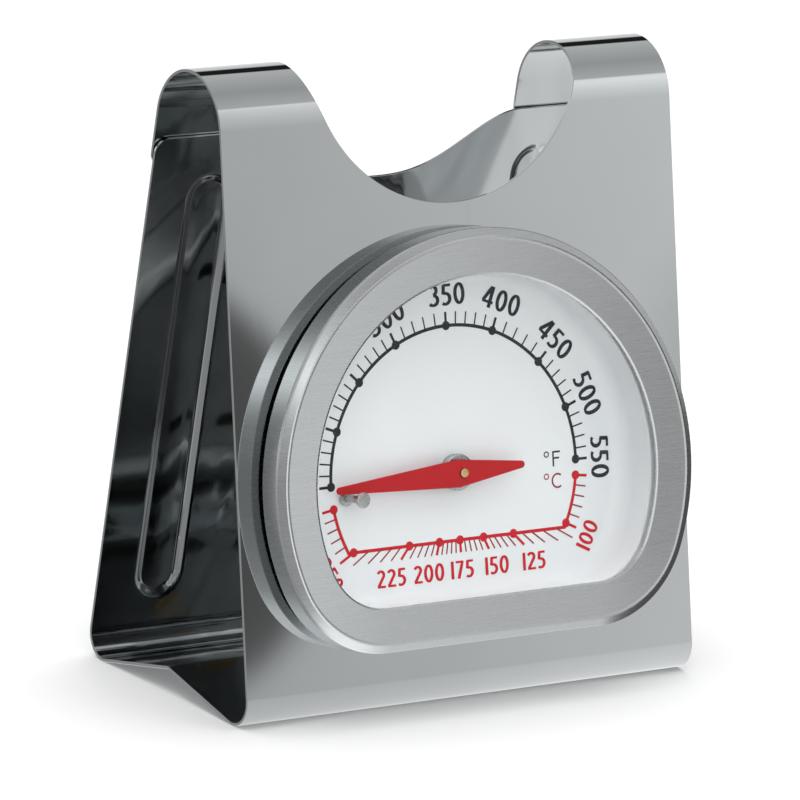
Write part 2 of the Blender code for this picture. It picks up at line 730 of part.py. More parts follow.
def build_coil_collet(pivot):
    """Brass collar on the arbor that the coil's inner end is fixed to."""
    bore = ARBOR_RADIUS + RUNNING_GAP
    overlap = 0.4 * MM
    top = COIL_REAR + COIL_WIDTH + overlap
    base = COIL_REAR - overlap
    profile = [(bore, top), (COLLET_RADIUS, top), (COLLET_RADIUS, base), (bore, base)]
    turned("coil_collet", profile, "brass", pivot, ring=True)


def build_coil(gauge):
    """Flat bimetal strip wound in a spiral about the arbor."""
    count = round(COIL_TURNS * COIL_STEPS_PER_TURN)
    shape = bmesh.new()
    rows = []
    for step in range(count + 1):
        share = step / count
        angle = math.tau * COIL_TURNS * share
        radius = COIL_INNER + (COIL_OUTER - COIL_INNER) * share
        x, y = radius * math.cos(angle), radius * math.sin(angle)
        rows.append([shape.verts.new((x, y, COIL_REAR + rise)) for rise in (0.0, COIL_WIDTH)])
    for (a, b), (c, d) in zip(rows, rows[1:]):
        shape.faces.new((a, c, d, b))
    mesh = bpy.data.meshes.new("bimetal_coil")
    shape.to_mesh(mesh)
    shape.free()
    mesh.shade_smooth()
    coil = add_part("bimetal_coil", mesh, "bimetal", gauge)
    solidify = coil.modifiers.new("strip", "SOLIDIFY")
    solidify.thickness = COIL_THICKNESS
    solidify.offset = 0.0


def build_coil_anchor(gauge):
    """L-shaped bracket riveted to the case's back, which holds the coil's outer end."""
    rear = CASE_BACK + PAN_SHEET + SEAT_GAP
    front = COIL_REAR + COIL_WIDTH
    leaf = ANCHOR_LEAF
    outline = [
        (0, rear), (ANCHOR_FOOT, rear), (ANCHOR_FOOT, rear + leaf),
        (leaf, rear + leaf), (leaf, front), (0, front),
    ]
    mesh = plate("coil_anchor", outline, 2.6 * MM)
    stand_up = Matrix(((0, 0, 1, 0), (1, 0, 0, 0), (0, 1, 0, 0), (0, 0, 0, 1)))
    mesh.transform(stand_up)
    clear = COIL_OUTER + COIL_THICKNESS / 2 + SEAT_GAP
    anchor = add_part("coil_anchor", mesh, "polished_steel", gauge, (0.0, clear, 0.0))

    rivet_y = clear + (ANCHOR_FOOT + leaf) / 2
    hole = arc_points((0, 0), ANCHOR_RIVET_RADIUS + RUNNING_GAP, 0.0, math.tau, ROUND_STEPS)[:-1]
    drill = add_cutter("rivet_hole", plate("rivet_hole", hole, 3 * MM), gauge, (0, rivet_y, CASE_BACK))
    cut(anchor, drill)
    cut(bpy.data.objects["case_pan"], drill)
    head = 0.4 * MM
    front_seat = rear + leaf + RUNNING_GAP
    rear_seat = CASE_BACK - RUNNING_GAP
    profile = [
        (0.0, front_seat + head),
        (ANCHOR_RIVET_HEAD - head / 2, front_seat + head),
        (ANCHOR_RIVET_HEAD, front_seat),
        (ANCHOR_RIVET_RADIUS, front_seat),
        (ANCHOR_RIVET_RADIUS, rear_seat),
        (ANCHOR_RIVET_HEAD, rear_seat),
        (ANCHOR_RIVET_HEAD - head / 2, rear_seat - head),
        (0.0, rear_seat - head),
    ]
    turned("anchor_rivet", profile, "polished_steel", gauge, location=(0.0, rivet_y, 0.0))


def build_gauge(seat):
    """Everything on the gauge's own axes: X right, Y up the stand's face, Z out of it."""
    gauge = bpy.data.objects.new("gauge_axes", None)
    parts.objects.link(gauge)
    gauge.location = seat
    gauge.rotation_euler = (math.pi / 2 - FRONT_LEAN, 0.0, 0.0)
    pivot = bpy.data.objects.new("pointer_axis", None)
    parts.objects.link(pivot)
    pivot.parent = gauge
    pivot.rotation_euler = (0.0, 0.0, POINTER_REST)

    build_bezel(gauge)
    build_glass(gauge)
    build_lens_seal(gauge)
    build_dial_tray(gauge)
    build_case(gauge)
    build_clamp_ring(gauge)
    build_bushing(gauge)
    build_stop_pin(gauge)
    build_rear_bearing(gauge)
    build_coil(gauge)
    build_coil_anchor(gauge)
    build_arbor(pivot)
    build_pointer(pivot)
    build_pointer_washer(pivot)
    build_coil_collet(pivot)


clear_scene()
parts = new_collection(COLLECTION_NAME)
cutters = new_collection(CUTTER_COLLECTION)
materials = {name: make_material(name) for name in FINISHES}
build_gauge(build_stand())
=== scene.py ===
"""Looks of the oven thermometer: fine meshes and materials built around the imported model.

Pieces are modelled in millimetres. The stand is drawn flat, as (across, along the strip), and then
bent; the gauge's pieces lie on its own axes: X right, Y up the stand's face, Z out of it.
"""

import json
import math

import bmesh
import bpy
from mathutils import Matrix, Vector
from mathutils.geometry import delaunay_2d_cdt


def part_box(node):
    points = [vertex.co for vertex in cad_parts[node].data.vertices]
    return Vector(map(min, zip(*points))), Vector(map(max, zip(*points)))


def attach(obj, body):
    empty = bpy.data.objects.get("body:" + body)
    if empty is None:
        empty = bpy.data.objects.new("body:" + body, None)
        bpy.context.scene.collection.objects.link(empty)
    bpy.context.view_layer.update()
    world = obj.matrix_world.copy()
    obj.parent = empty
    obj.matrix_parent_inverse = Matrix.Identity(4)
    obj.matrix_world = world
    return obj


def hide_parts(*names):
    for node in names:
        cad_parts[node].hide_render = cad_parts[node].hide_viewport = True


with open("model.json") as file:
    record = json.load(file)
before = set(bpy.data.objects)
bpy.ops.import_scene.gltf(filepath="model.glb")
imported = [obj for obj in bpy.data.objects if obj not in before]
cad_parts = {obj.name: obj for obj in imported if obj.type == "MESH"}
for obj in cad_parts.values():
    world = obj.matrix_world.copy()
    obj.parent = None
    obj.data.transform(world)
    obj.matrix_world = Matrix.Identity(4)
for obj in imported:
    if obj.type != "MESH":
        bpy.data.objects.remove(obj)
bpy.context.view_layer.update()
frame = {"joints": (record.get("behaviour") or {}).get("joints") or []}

MM = 0.001

# Stand: the strip and its side profile (depth runs forward from the rear foot, then height)
STAND_WIDTH = 86.0
SHEET = 0.5
EDGE_BREAK = 0.07
FRONT_LEAN = math.radians(10.0)
BACK_LEAN = math.radians(9.0)
LOOP_RADIUS = 9.48
LOOP_CENTRE = Vector((17.98, 91.91))
LAP_STEP = 0.75
LAP_TAIL_Z = 83.6
BACK_TOP_Z = 88.55
FRONT_BEND_RADIUS = 4.2
REAR_BEND_RADIUS = 4.0
RIDGE_RADIUS = 1.2
RIDGE_FRONT_SLOPE = math.radians(11.8)
RIDGE_REAR_SLOPE = math.radians(11.6)
BEND_STEP = math.radians(3.0)
FRONT_PANEL = 2
BACK_PANEL = 8

# Stand: a point between its walls, in metres, which tells the polished outside from the duller inside
STAND_MIDDLE = (0.0, 0.006, 0.05)
OUTSIDE_ROUGHNESS = 0.03
INSIDE_ROUGHNESS = 0.08

# Stand: what is cut and pressed in the flat blank
SCOOP_RADIUS = 26.0
SCOOP_BOTTOM_Z = 79.5
SCOOP_STEPS = 90
SADDLE_DROP = 9.65
SADDLE_POWER = 1.31
SADDLE_FLAT_X = 27.0
SADDLE_STEPS = 36
CORNER_RADIUS = 2.4
RIB_X = 31.4
RIB_FLOOR = 2.8
RIB_SHOULDER = 4.8
RIB_DEPTH = 0.8
RIB_PILLOW = 0.14
RIB_BOTTOM_Z = 8.3
RIB_TOP_Z = 82.4
WELD_X = (31.0, 38.5)
WELD_Z = 86.2
WELD_RADIUS = 1.5
WELD_DEPTH = 0.12

# Gauge: the D-shaped outline of the bezel; every other outline is inset from it
BEZEL_RADIUS = 39.9
BEZEL_FLAT = 26.2
BEZEL_CORNER = 18.0
BEZEL_CENTRE_Y = -0.3
CROWN_STEPS = 112
CORNER_STEPS = 22

# Gauge: heights above the stand's front face, and insets from the bezel's outline
BEZEL_FACE = 6.7
BEZEL_CONE = 0.2
BEZEL_CREASE_INSET = 1.3
BEZEL_SHOULDER = 0.75
BEZEL_REAR = 0.6
BEZEL_SHEET = 0.45
BEZEL_ASIDE = 0.4
OPENING_INSET = 7.4
GLASS_FRONT = 5.95
GLASS_THICKNESS = 1.1
GLASS_INSET = 1.2
GLASS_MIDDLE = 14.0
SEAL_THICKNESS = 0.45
SEAL_WIDTH = 4.8
PAN_SHEET = 0.5
FLOOR_MARGIN = 1.0
TRAY_RIM = 4.1
TRAY_SHEET = 0.4
TRAY_WALL_INSET = 6.9
TRAY_FILLET = 3.0
TRAY_ARC_STEP = 7.0
DIAL_FACE = -3.6
CASE_FLANGE = 1.85
CASE_RIM = 3.5
CASE_RIM_INSET = 0.9
CASE_WALL_INSET = 5.6
CASE_BACK = -14.0
CASE_FILLET = 2.4
HOLE_INSET = 5.25
CLAMP_INSET = 5.3
CLAMP_FLANGE = 3.3
CLAMP_COLLAR = 3.4

# Gauge: turned pieces, the pointer and the coil
ARBOR_RADIUS = 0.75
ARBOR_FRONT = -0.45
ARBOR_REAR = -14.3
RUNNING_GAP = 0.12
SEAT_GAP = 0.15
BUSHING_RADIUS = 2.95
BUSHING_NECK = 1.8
BUSHING_FRONT = -2.1
POINTER_FACE = -0.8
POINTER_THICKNESS = 0.4
POINTER_TIP = 24.2
POINTER_TIP_HALF = 0.6
POINTER_TIP_TURN = 1.45
POINTER_TAIL = 11.5
POINTER_TAIL_HALF = 0.6
POINTER_HALF = 2.25
POINTER_WIDEST = 0.9
POINTER_REST = math.radians(181.6)
STOP_PIN_AT = Vector((-21.0, -2.2))
STOP_PIN_FLANGE = 1.25
STOP_PIN_SHANK = 0.65
STOP_PIN_NECK = 0.8
STOP_PIN_FRONT = 1.9
STOP_PIN_HEAD = 0.45
COIL_REAR = -11.6
COIL_WIDTH = 4.0
COIL_THICKNESS = 0.35
COIL_INNER = 2.6
COIL_OUTER = 10.6
COIL_TURNS = 4.25
COIL_STEPS_PER_TURN = 72
COLLET_RADIUS = 2.1
BEARING_NECK = 1.6
BEARING_FLANGE = 2.8
BEARING_REAR = -15.0
RIVET_RADIUS = 0.6
RIVET_HEAD = 1.1
ANCHOR_FOOT = 3.6
ANCHOR_LEAF = 0.6
ANCHOR_WIDTH = 2.6
VENT_COLUMNS = (-13.0, 0.0, 13.0)
VENT_ROWS = (19.5, -13.5)
VENT_HALF_WIDTH = 1.5
VENT_HALF_LENGTH = 5.0

# Gauge: where pieces sit on the dial tray and the case's back, and how wide a bore runs on the arbor
DIAL_SEAT = DIAL_FACE + SEAT_GAP
DIAL_REAR_SEAT = DIAL_FACE - TRAY_SHEET - SEAT_GAP
CASE_SEAT = CASE_BACK + PAN_SHEET + SEAT_GAP
ARBOR_BORE = ARBOR_RADIUS + RUNNING_GAP

# Fineness of round shapes, the bend at which an edge counts as sharp, and what cuts run past by
ROUND_STEPS = 64
ARC_STEP = 11.0
SHARP_ANGLE = math.radians(35.0)
SHARP_ANGLE_BEVELLED = math.radians(60.0)
CUT_PAST = 1.0

# Printing on the dial: where each mark of the black scale stands, in degrees from +X
FAHRENHEIT_AT = {150: 180.5, 200: 159.0, 250: 137.5, 300: 115.5, 350: 91.0, 400: 69.0,
                 450: 43.5, 500: 21.0, 550: -0.5}
FAHRENHEIT_STEP = 50
FAHRENHEIT_TICK = 10
CELSIUS_MARKS = range(75, 276, 25)
CELSIUS_TICK = 5
INK = 0.03
SCALE_RADIUS = 23.6
SCALE_LINE = 0.55
TICK_END = 25.8
TICK_WIDTH = 0.25
MARK_WIDTH = 0.45
DOT_RADIUS = 0.75
CHORD_Y = -11.07
CHORD_TICK_END = -13.1
BLACK_FIGURES_RADIUS = 28.55
BLACK_FIGURES_ASIDE = {300: 0.45, 350: 0.45, 400: 0.2, 450: -0.1, 500: -0.2, 550: -0.2}
BLACK_FIGURES_HEIGHT = 3.5
RED_FIGURES_HEIGHT = 2.87
RED_FIGURES_Y = -15.85
RED_FIGURES_X = {225: -12.95, 200: -5.75, 175: 0.7, 150: 7.4, 125: 14.65}
RED_CORNER_RADIUS = 28.3
RED_CORNER_AT = {100: -26.8, 250: 210.2}
FIGURE_UPRIGHT_STROKE = 0.185
FIGURE_LEVEL_STROKE = 0.13
FIGURE_GAP = 0.11
UNIT_HEIGHT = 2.5
UNIT_STROKE = 0.3
DEGREE_RING_ASIDE = 2.0
DEGREE_RING_DROP = 0.45
DEGREE_RING_RADIUS = 0.42
DEGREE_RING_STROKE = 0.2

# Studio: light from each climb in degrees (0 the front horizon, 90 overhead, 180 the back), a factor on
# it by the direction's X that fades out higher up, and patches as (aside, climb, radius, softness, level)
WORLD_BANDS = (
    (-90, 1.0), (-10, 0.86), (0, 0.82), (0.7, 0.76), (5.7, 0.78), (26, 0.97), (47.5, 1.24), (48.5, 0.73),
    (79, 0.55), (123, 0.74), (131, 0.74), (133, 0.02), (150, 0.02), (154, 0.86), (180, 0.96),
)
WORLD_ACROSS = (
    (-1.0, 0.42), (-0.5, 0.42), (-0.3, 0.6), (-0.1, 1.5), (0.3, 1.5), (0.45, 1.0), (0.515, 0.88),
    (0.545, 1.0), (0.58, 1.25), (0.61, 0.35), (0.70, 0.1), (1.0, 0.1),
)
WORLD_ACROSS_FADES = (40.0, 50.0)
WORLD_SPOTS = (
    (30.6, 2.3, 1.75, 0.15, 0.17), (36.0, 2.4, 1.2, 0.5, 0.8), (-27.0, 32.0, 6.5, 4.0, 5.0),
    (10.0, 40.0, 19.0, 5.0, 0.2),
)

# Camera: aims past the middle of the stand, and leans a little to one side
CAMERA_AIM = Vector((-7.7, -7.3, 47.5)) * MM
CAMERA_DISTANCE = 1.228
CAMERA_TURN = math.radians(34.01)
CAMERA_TILT = math.radians(13.99)
CAMERA_ROLL = math.radians(3.03)
CAMERA_LENS = 345.2


def gauge_axes():
    """The gauge's own axes, from the joint that its pointer turns on."""
    joint = next(joint for joint in frame["joints"] if joint["name"] == "pointer_turn")
    out = -Vector(joint["axis"]).normalized()
    right = Vector((1.0, 0.0, 0.0))
    up = out.cross(right)
    axes = Matrix((right, up, out)).transposed().to_4x4()
    return Matrix.Translation(Vector(joint["pos_m"])) @ axes


GAUGE = gauge_axes()
POINTER = GAUGE @ Matrix.Rotation(POINTER_REST, 4, "Z")


def new_object(name, data):
    """An object that is linked to the scene."""
    item = bpy.data.objects.new(name, data)
    bpy.context.scene.collection.objects.link(item)
    return item


# Meshes

def mesh_of(shape, turn_out=True):
    """A mesh from a bmesh; turn_out makes its faces point out."""
    if turn_out:
        bmesh.ops.recalc_face_normals(shape, faces=shape.faces)
    mesh = bpy.data.meshes.new("shape")
    shape.to_mesh(mesh)
    shape.free()
    return mesh


def arc_points(centre, radius, start, end, steps):
    """Points on an arc from start to end, both included, angles in radians."""
    points = []
    for step in range(steps + 1):
        angle = start + (end - start) * step / steps
        points.append((centre[0] + radius * math.cos(angle), centre[1] + radius * math.sin(angle)))
    return points


def circle(centre, radius, steps=ROUND_STEPS):
    return arc_points(centre, radius, 0.0, math.tau, steps)[:-1]


def stadium(centre, half_width, half_length, along, steps):
    """A slot outline, round at both ends: along is 0 for X and 1 for Y."""
    reach = half_length - half_width
    first = arc_points((reach, 0.0), half_width, -math.pi / 2, math.pi / 2, steps)
    second = arc_points((-reach, 0.0), half_width, math.pi / 2, 1.5 * math.pi, steps)
    outline = first + second
    if along == 1:
        outline = [(-y, x) for x, y in outline]
    return [(centre[0] + x, centre[1] + y) for x, y in outline]


def rounded(corners, step_degrees=ARC_STEP):
    """A section's points: a corner is (x, y, radius), and one with a radius becomes an arc."""
    points = []
    for index, (x, y, radius) in enumerate(corners):
        here = Vector((x, y))
        if radius == 0:
            points.append(here)
            continue
        to_before = (Vector(corners[index - 1][:2]) - here).normalized()
        to_after = (Vector(corners[(index + 1) % len(corners)][:2]) - here).normalized()
        half = to_before.angle(to_after) / 2
        centre = here + (to_before + to_after).normalized() * radius / math.sin(half)
        start = here + to_before * radius / math.tan(half) - centre
        end = here + to_after * radius / math.tan(half) - centre
        sweep = math.copysign(math.pi - 2 * half, start.cross(end))
        steps = max(2, math.ceil(math.degrees(abs(sweep)) / step_degrees))
        for step in range(steps + 1):
            points.append(centre + Matrix.Rotation(sweep * step / steps, 2) @ start)
    return points


def bridge(shape, rings, closed=False, capped=True):
    """Quads between rings of the same length; a closed bridge joins its ends, and an open one caps them."""
    for lower, upper in zip(rings, rings[1:] + rings[:1] if closed else rings[1:]):
        for i in range(len(lower)):
            j = (i + 1) % len(lower)
            shape.faces.new((lower[i], lower[j], upper[j], upper[i]))
    if capped and not closed:
        shape.faces.new(rings[0])
        shape.faces.new(rings[-1])


def turned(corners, bored):
    """A turned mesh from corners (radius, height, rounding): bored, or solid with its ends on the axis."""
    first, last = corners[0][1], corners[-1][1]
    if not bored:
        corners = [(0.0, first, 0)] + corners + [(0.0, last, 0)]
    section = rounded(corners)
    shape = bmesh.new()
    angles = [math.tau * step / ROUND_STEPS for step in range(ROUND_STEPS)]
    rings = []
    for radius, height in section if bored else section[1:-1]:
        rings.append([shape.verts.new((radius * math.cos(a), radius * math.sin(a), height)) for a in angles])
    bridge(shape, rings, bored, capped=False)
    if not bored:
        for ring, height in ((rings[0], first), (rings[-1], last)):
            tip = shape.verts.new((0.0, 0.0, height))
            for i in range(ROUND_STEPS):
                shape.faces.new((tip, ring[i], ring[(i + 1) % ROUND_STEPS]))
    return mesh_of(shape)


def d_corner():
    """Centre of the bezel's right-hand corner arc, and the angle where it meets the crown."""
    y = BEZEL_CORNER - BEZEL_FLAT
    x = math.sqrt((BEZEL_RADIUS - BEZEL_CORNER) ** 2 - y ** 2)
    return x, BEZEL_CENTRE_Y + y, math.atan2(y, x)


def d_outline(inset):
    """The gauge's outline: a circle with a flat foot and wide round corners, anticlockwise."""
    x, y, meet = d_corner()
    radius = BEZEL_RADIUS - inset
    corner = BEZEL_CORNER - inset
    crown = arc_points((0.0, BEZEL_CENTRE_Y), radius, meet, math.pi - meet, CROWN_STEPS)
    left = arc_points((-x, y), corner, math.pi - meet, 1.5 * math.pi, CORNER_STEPS)
    right = arc_points((x, y), corner, -0.5 * math.pi, meet, CORNER_STEPS)
    return crown + left[1:] + right[:-1]


def d_inset(x, y):
    """How far a point lies inside the bezel's outline."""
    corner_x, corner_y, meet = d_corner()
    aside = Vector((abs(x) - corner_x, y - corner_y))
    if -math.pi / 2 < math.atan2(aside.y, aside.x) < meet:
        return BEZEL_CORNER - aside.length
    crown = BEZEL_RADIUS - math.hypot(x, y - BEZEL_CENTRE_Y)
    return min(crown, y - BEZEL_CENTRE_Y + BEZEL_FLAT)


def d_loft(corners, closed=False, step_degrees=ARC_STEP):
    """A D-shaped mesh from corners (inset, height, rounding), closed on itself or capped at both ends."""
    shape = bmesh.new()
    rings = []
    for inset, height in rounded(corners, step_degrees):
        rings.append([shape.verts.new((x, y, height)) for x, y in d_outline(inset)])
    bridge(shape, rings, closed)
    return mesh_of(shape)


def prisms(outlines, low, high):
    """A flat plate between two heights for each outline."""
    shape = bmesh.new()
    for outline in outlines:
        bridge(shape, [[shape.verts.new((x, y, z)) for x, y in outline] for z in (low, high)])
    return mesh_of(shape)


def drilled(mesh, outlines, low, high):
    """The mesh less a hole for each outline, through its sheet from low to high."""
    holder = new_object("drilled", mesh)
    drill = new_object("drill", prisms(outlines, low - CUT_PAST, high + CUT_PAST))
    boolean = holder.modifiers.new("drill", "BOOLEAN")
    boolean.operation = "DIFFERENCE"
    boolean.object = drill
    bpy.context.view_layer.update()
    result = bpy.data.meshes.new_from_object(holder.evaluated_get(bpy.context.evaluated_depsgraph_get()))
    for item in (holder, drill):
        bpy.data.objects.remove(item)
    return result


def add_piece(name, mesh, material, body="root", axes=GAUGE):
    """Put a mesh of millimetres in place as one piece that rides a body."""
    mesh.name = name
    mesh.transform(Matrix.Scale(MM, 4))
    mesh.materials.clear()
    mesh.materials.append(material)
    piece = new_object(name, mesh)
    piece.matrix_world = axes
    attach(piece, body)
    return piece


def stand_in(node, mesh, material, body="root", axes=GAUGE):
    """A piece shown for a CAD node in the given material; the node's own mesh is hidden."""
    piece = add_piece(node + "_fine", mesh, material, body, axes)
    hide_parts(node)
    return piece


def finish_edges(piece, bevel=0.0):
    """Smooth shading that keeps flat faces flat, with an optional small bevel."""
    if bevel:
        edge = piece.modifiers.new("edge_break", "BEVEL")
        edge.width = bevel * MM
        edge.segments = 2
        edge.limit_method = "ANGLE"
        edge.angle_limit = SHARP_ANGLE
        edge.miter_outer = "MITER_ARC"
    piece.data.shade_smooth()
    piece.data.set_sharp_from_angle(angle=SHARP_ANGLE_BEVELLED if bevel else SHARP_ANGLE)
    weighted = piece.modifiers.new("flat_faces", "WEIGHTED_NORMAL")
    weighted.mode = "FACE_AREA"
    weighted.weight = 80
    weighted.keep_sharp = True


# Materials

class Tree:
    """A node tree, and short ways to add to it."""

    def __init__(self, tree):
        self.tree = tree

    def add(self, kind, inputs, output=0, **settings):
        """A new node's output; inputs are sockets to link or values, by their names or numbers."""
        node = self.tree.nodes.new("ShaderNode" + kind)
        for name, value in settings.items():
            setattr(node, name, value)
        for key, value in inputs.items():
            self.feed(node.inputs[key], value)
        return node.outputs[output]

    def feed(self, socket, value):
        if isinstance(value, bpy.types.NodeSocket):
            self.tree.links.new(value, socket)
        else:
            socket.default_value = value

    def math(self, operation, first, second):
        return self.add("Math", {0: first, 1: second}, operation=operation)

    def spread(self, value, low, high, start=0.35, end=0.65, easing="LINEAR"):
        """A number from low, where the value is at start, to high, where it is at end."""
        ends = {"From Min": start, "From Max": end, "To Min": low, "To Max": high}
        return self.add("MapRange", {"Value": value, **ends}, interpolation_type=easing)

    def ramp(self, value, stops):
        """A colour that runs between (position, colour) stops."""
        colour = self.add("ValToRGB", {"Fac": value})
        elements = colour.node.color_ramp.elements
        while len(elements) < len(stops):
            elements.new(1.0)
        for element, (position, shade) in zip(elements, stops):
            element.position = position
            element.color = (*shade, 1.0)
        return colour


class Shader(Tree):
    """A Principled material whose colour, roughness and relief come from procedural patterns."""

    def __init__(self, name, colour, roughness, metallic=0.0):
        self.material = bpy.data.materials.new(name)
        self.material.use_nodes = True
        super().__init__(self.material.node_tree)
        self.surface = self.tree.nodes["Principled BSDF"]
        self.colour = colour
        self.set("Base Color", (*colour, 1.0))
        self.set("Roughness", roughness)
        self.set("Metallic", metallic)
        self.coordinates = self.add("TexCoord", {}, "Object")

    def set(self, name, value):
        """A value or a pattern's socket for one input of the surface."""
        self.feed(self.surface.inputs[name], value)

    def noise(self, scale, stretch=(1.0, 1.0, 1.0), detail=3.0, roughness=0.5, distortion=0.0):
        """A noise pattern; scale is in repeats a metre, and stretch divides it along each axis."""
        place = self.add("Mapping", {"Vector": self.coordinates, "Scale": [scale / s for s in stretch]})
        settings = {"Scale": 1.0, "Detail": detail, "Roughness": roughness, "Distortion": distortion}
        return self.add("TexNoise", {"Vector": place, **settings})

    def facing(self, middle, soft):
        """1 where the surface faces a point of the piece and 0 where it faces away from it."""
        away = self.add("VectorMath", {0: self.coordinates, 1: middle}, operation="SUBTRACT")
        normal = self.coordinates.node.outputs["Normal"]
        along = self.add("VectorMath", {0: away, 1: normal}, "Value", operation="DOT_PRODUCT")
        return self.spread(along, 1.0, 0.0, -soft, soft)

    def set_roughness(self, pattern, low, high):
        self.set("Roughness", self.spread(pattern, low, high))

    def tint(self, pattern, first, second):
        """The colour runs from first to second with the pattern."""
        self.set("Base Color", self.ramp(pattern, [(0.35, first), (0.65, second)]))

    def shade(self, pattern, amount):
        """The base colour, a little darker and lighter with the pattern."""
        darker = [channel * (1.0 - amount) for channel in self.colour]
        lighter = [min(1.0, channel * (1.0 + amount)) for channel in self.colour]
        self.tint(pattern, darker, lighter)

    def relief(self, pattern, depth_mm):
        """Surface relief from the pattern, on top of any that is there already."""
        inputs = {"Strength": 1.0, "Distance": depth_mm * MM, "Height": pattern}
        normal = self.surface.inputs["Normal"]
        if normal.is_linked:
            inputs["Normal"] = normal.links[0].from_socket
        self.set("Normal", self.add("Bump", inputs))


def polished_sheet():
    """Bright-rolled stainless sheet: a clear mirror outside, a little duller and wavier inside."""
    steel = Shader("stand_steel", (0.49, 0.512, 0.518), OUTSIDE_ROUGHNESS, 1.0)
    inward = steel.facing(STAND_MIDDLE, 0.004)
    steel.set("Roughness", steel.spread(inward, OUTSIDE_ROUGHNESS, INSIDE_ROUGHNESS, 0.0, 1.0))
    steel.shade(steel.noise(70.0, detail=2.0), 0.012)
    steel.relief(steel.noise(26.0, (1.0, 1.4, 1.4), 1.0), 0.015)
    waves = steel.noise(40.0, (0.8, 1.0, 1.8), 2.0, distortion=1.0)
    steel.relief(steel.math("MULTIPLY", waves, inward), 0.3)
    return steel.material


def brushed_steel():
    """Stainless brushed straight across: the lines run along X, and along Z down the skirt."""
    steel = Shader("bezel_steel", (0.61, 0.63, 0.635), 0.28, 1.0)
    lines = steel.noise(11000.0, (44.0, 1.0, 44.0), 3.0, 0.65)
    steel.set_roughness(lines, 0.25, 0.31)
    steel.shade(lines, 0.05)
    steel.relief(lines, 0.0009)
    steel.relief(steel.noise(1500.0, (30.0, 1.0, 30.0), 2.0), 0.0012)
    return steel.material


def drawn_steel():
    """Plain drawn stainless of the rear case, with a dull mill finish."""
    steel = Shader("case_steel", (0.50, 0.51, 0.515), 0.36, 1.0)
    steel.set_roughness(steel.noise(900.0, detail=4.0), 0.30, 0.44)
    steel.shade(steel.noise(160.0, detail=3.0), 0.05)
    steel.relief(steel.noise(5200.0, detail=3.0), 0.002)
    return steel.material


def turned_steel():
    """Bright turned steel of the bushing, pins and rivets."""
    steel = Shader("polished_steel", (0.43, 0.43, 0.43), 0.3, 1.0)
    steel.set_roughness(steel.noise(3000.0, detail=2.0), 0.24, 0.34)
    steel.shade(steel.noise(700.0, detail=2.0), 0.04)
    steel.relief(steel.noise(6500.0, (1.0, 1.0, 8.0), 2.0), 0.0015)
    return steel.material


def turned_brass():
    brass = Shader("brass", (0.66, 0.46, 0.22), 0.3, 1.0)
    brass.set_roughness(brass.noise(4000.0, detail=2.0), 0.24, 0.40)
    brass.shade(brass.noise(1200.0, detail=3.0), 0.10)
    brass.relief(brass.noise(7000.0, (1.0, 1.0, 8.0), 2.0), 0.002)
    return brass.material


def bimetal_strip():
    """Rolled bimetal, browned a little by the oven's heat."""
    strip = Shader("bimetal", (0.50, 0.45, 0.38), 0.4, 1.0)
    strip.set_roughness(strip.noise(2400.0, (4.0, 4.0, 1.0), 3.0), 0.34, 0.48)
    strip.tint(strip.noise(300.0, detail=3.0), (0.50, 0.47, 0.42), (0.48, 0.38, 0.27))
    strip.relief(strip.noise(5000.0, (6.0, 6.0, 1.0), 2.0), 0.002)
    return strip.material


def heat_seal():
    """Grey woven-fibre gasket."""
    fibre = Shader("seal_fibre", (0.30, 0.30, 0.29), 0.85)
    weave = fibre.noise(3500.0, detail=4.0, roughness=0.7)
    fibre.shade(weave, 0.25)
    fibre.set_roughness(weave, 0.75, 0.95)
    fibre.relief(weave, 0.05)
    return fibre.material


def white_enamel():
    """Stoved white enamel of the dial, satin, with the faintest orange peel."""
    enamel = Shader("dial_enamel", (0.80, 0.81, 0.83), 0.38)
    enamel.set_roughness(enamel.noise(500.0, detail=2.0), 0.34, 0.42)
    enamel.shade(enamel.noise(60.0, detail=2.0), 0.006)
    enamel.relief(enamel.noise(900.0, detail=1.0), 0.002)
    return enamel.material


def red_enamel():
    enamel = Shader("pointer_enamel", (0.45, 0.012, 0.016), 0.42)
    enamel.set("Specular IOR Level", 0.15)
    enamel.set_roughness(enamel.noise(800.0, detail=2.0), 0.38, 0.50)
    enamel.shade(enamel.noise(400.0, detail=2.0), 0.04)
    enamel.relief(enamel.noise(2500.0, detail=2.0), 0.003)
    return enamel.material


def dial_ink(name, colour):
    """Screen-printed ink, a little uneven in its cover."""
    ink = Shader(name, colour, 0.5)
    ink.set("Specular IOR Level", 0.2)
    cover = ink.noise(3000.0, detail=3.0)
    ink.shade(cover, 0.12)
    ink.set_roughness(cover, 0.44, 0.58)
    ink.relief(cover, 0.002)
    return ink.material


def clear_glass():
    """Clear flat glass, which lets the lamps through to the dial."""
    glass = Shader("lens_glass", (0.97, 0.985, 0.98), 0.0)
    glass.set("Transmission Weight", 1.0)
    glass.set("IOR", 1.15)
    glass.set_roughness(glass.noise(120.0, detail=2.0), 0.0, 0.02)
    in_shadow = glass.add("LightPath", {}, "Is Shadow Ray")
    clear = glass.add("BsdfTransparent", {"Color": (0.95, 0.965, 0.96, 1.0)})
    mix = glass.add("MixShader", {"Fac": in_shadow, 1: glass.surface.outputs["BSDF"], 2: clear})
    glass.feed(glass.tree.nodes["Material Output"].inputs["Surface"], mix)
    return glass.material


# Stand

def bend_centre(first, second, radius, side):
    """Centre of a bend that touches two lines; a line is (point, unit normal)."""
    rows = Matrix(((first[1].x, first[1].y), (second[1].x, second[1].y)))
    offsets = Vector((first[1].dot(first[0]) + side * radius, second[1].dot(second[0]) + side * radius))
    return rows.inverted() @ offsets


def polar(angle):
    return Vector((math.cos(angle), math.sin(angle)))


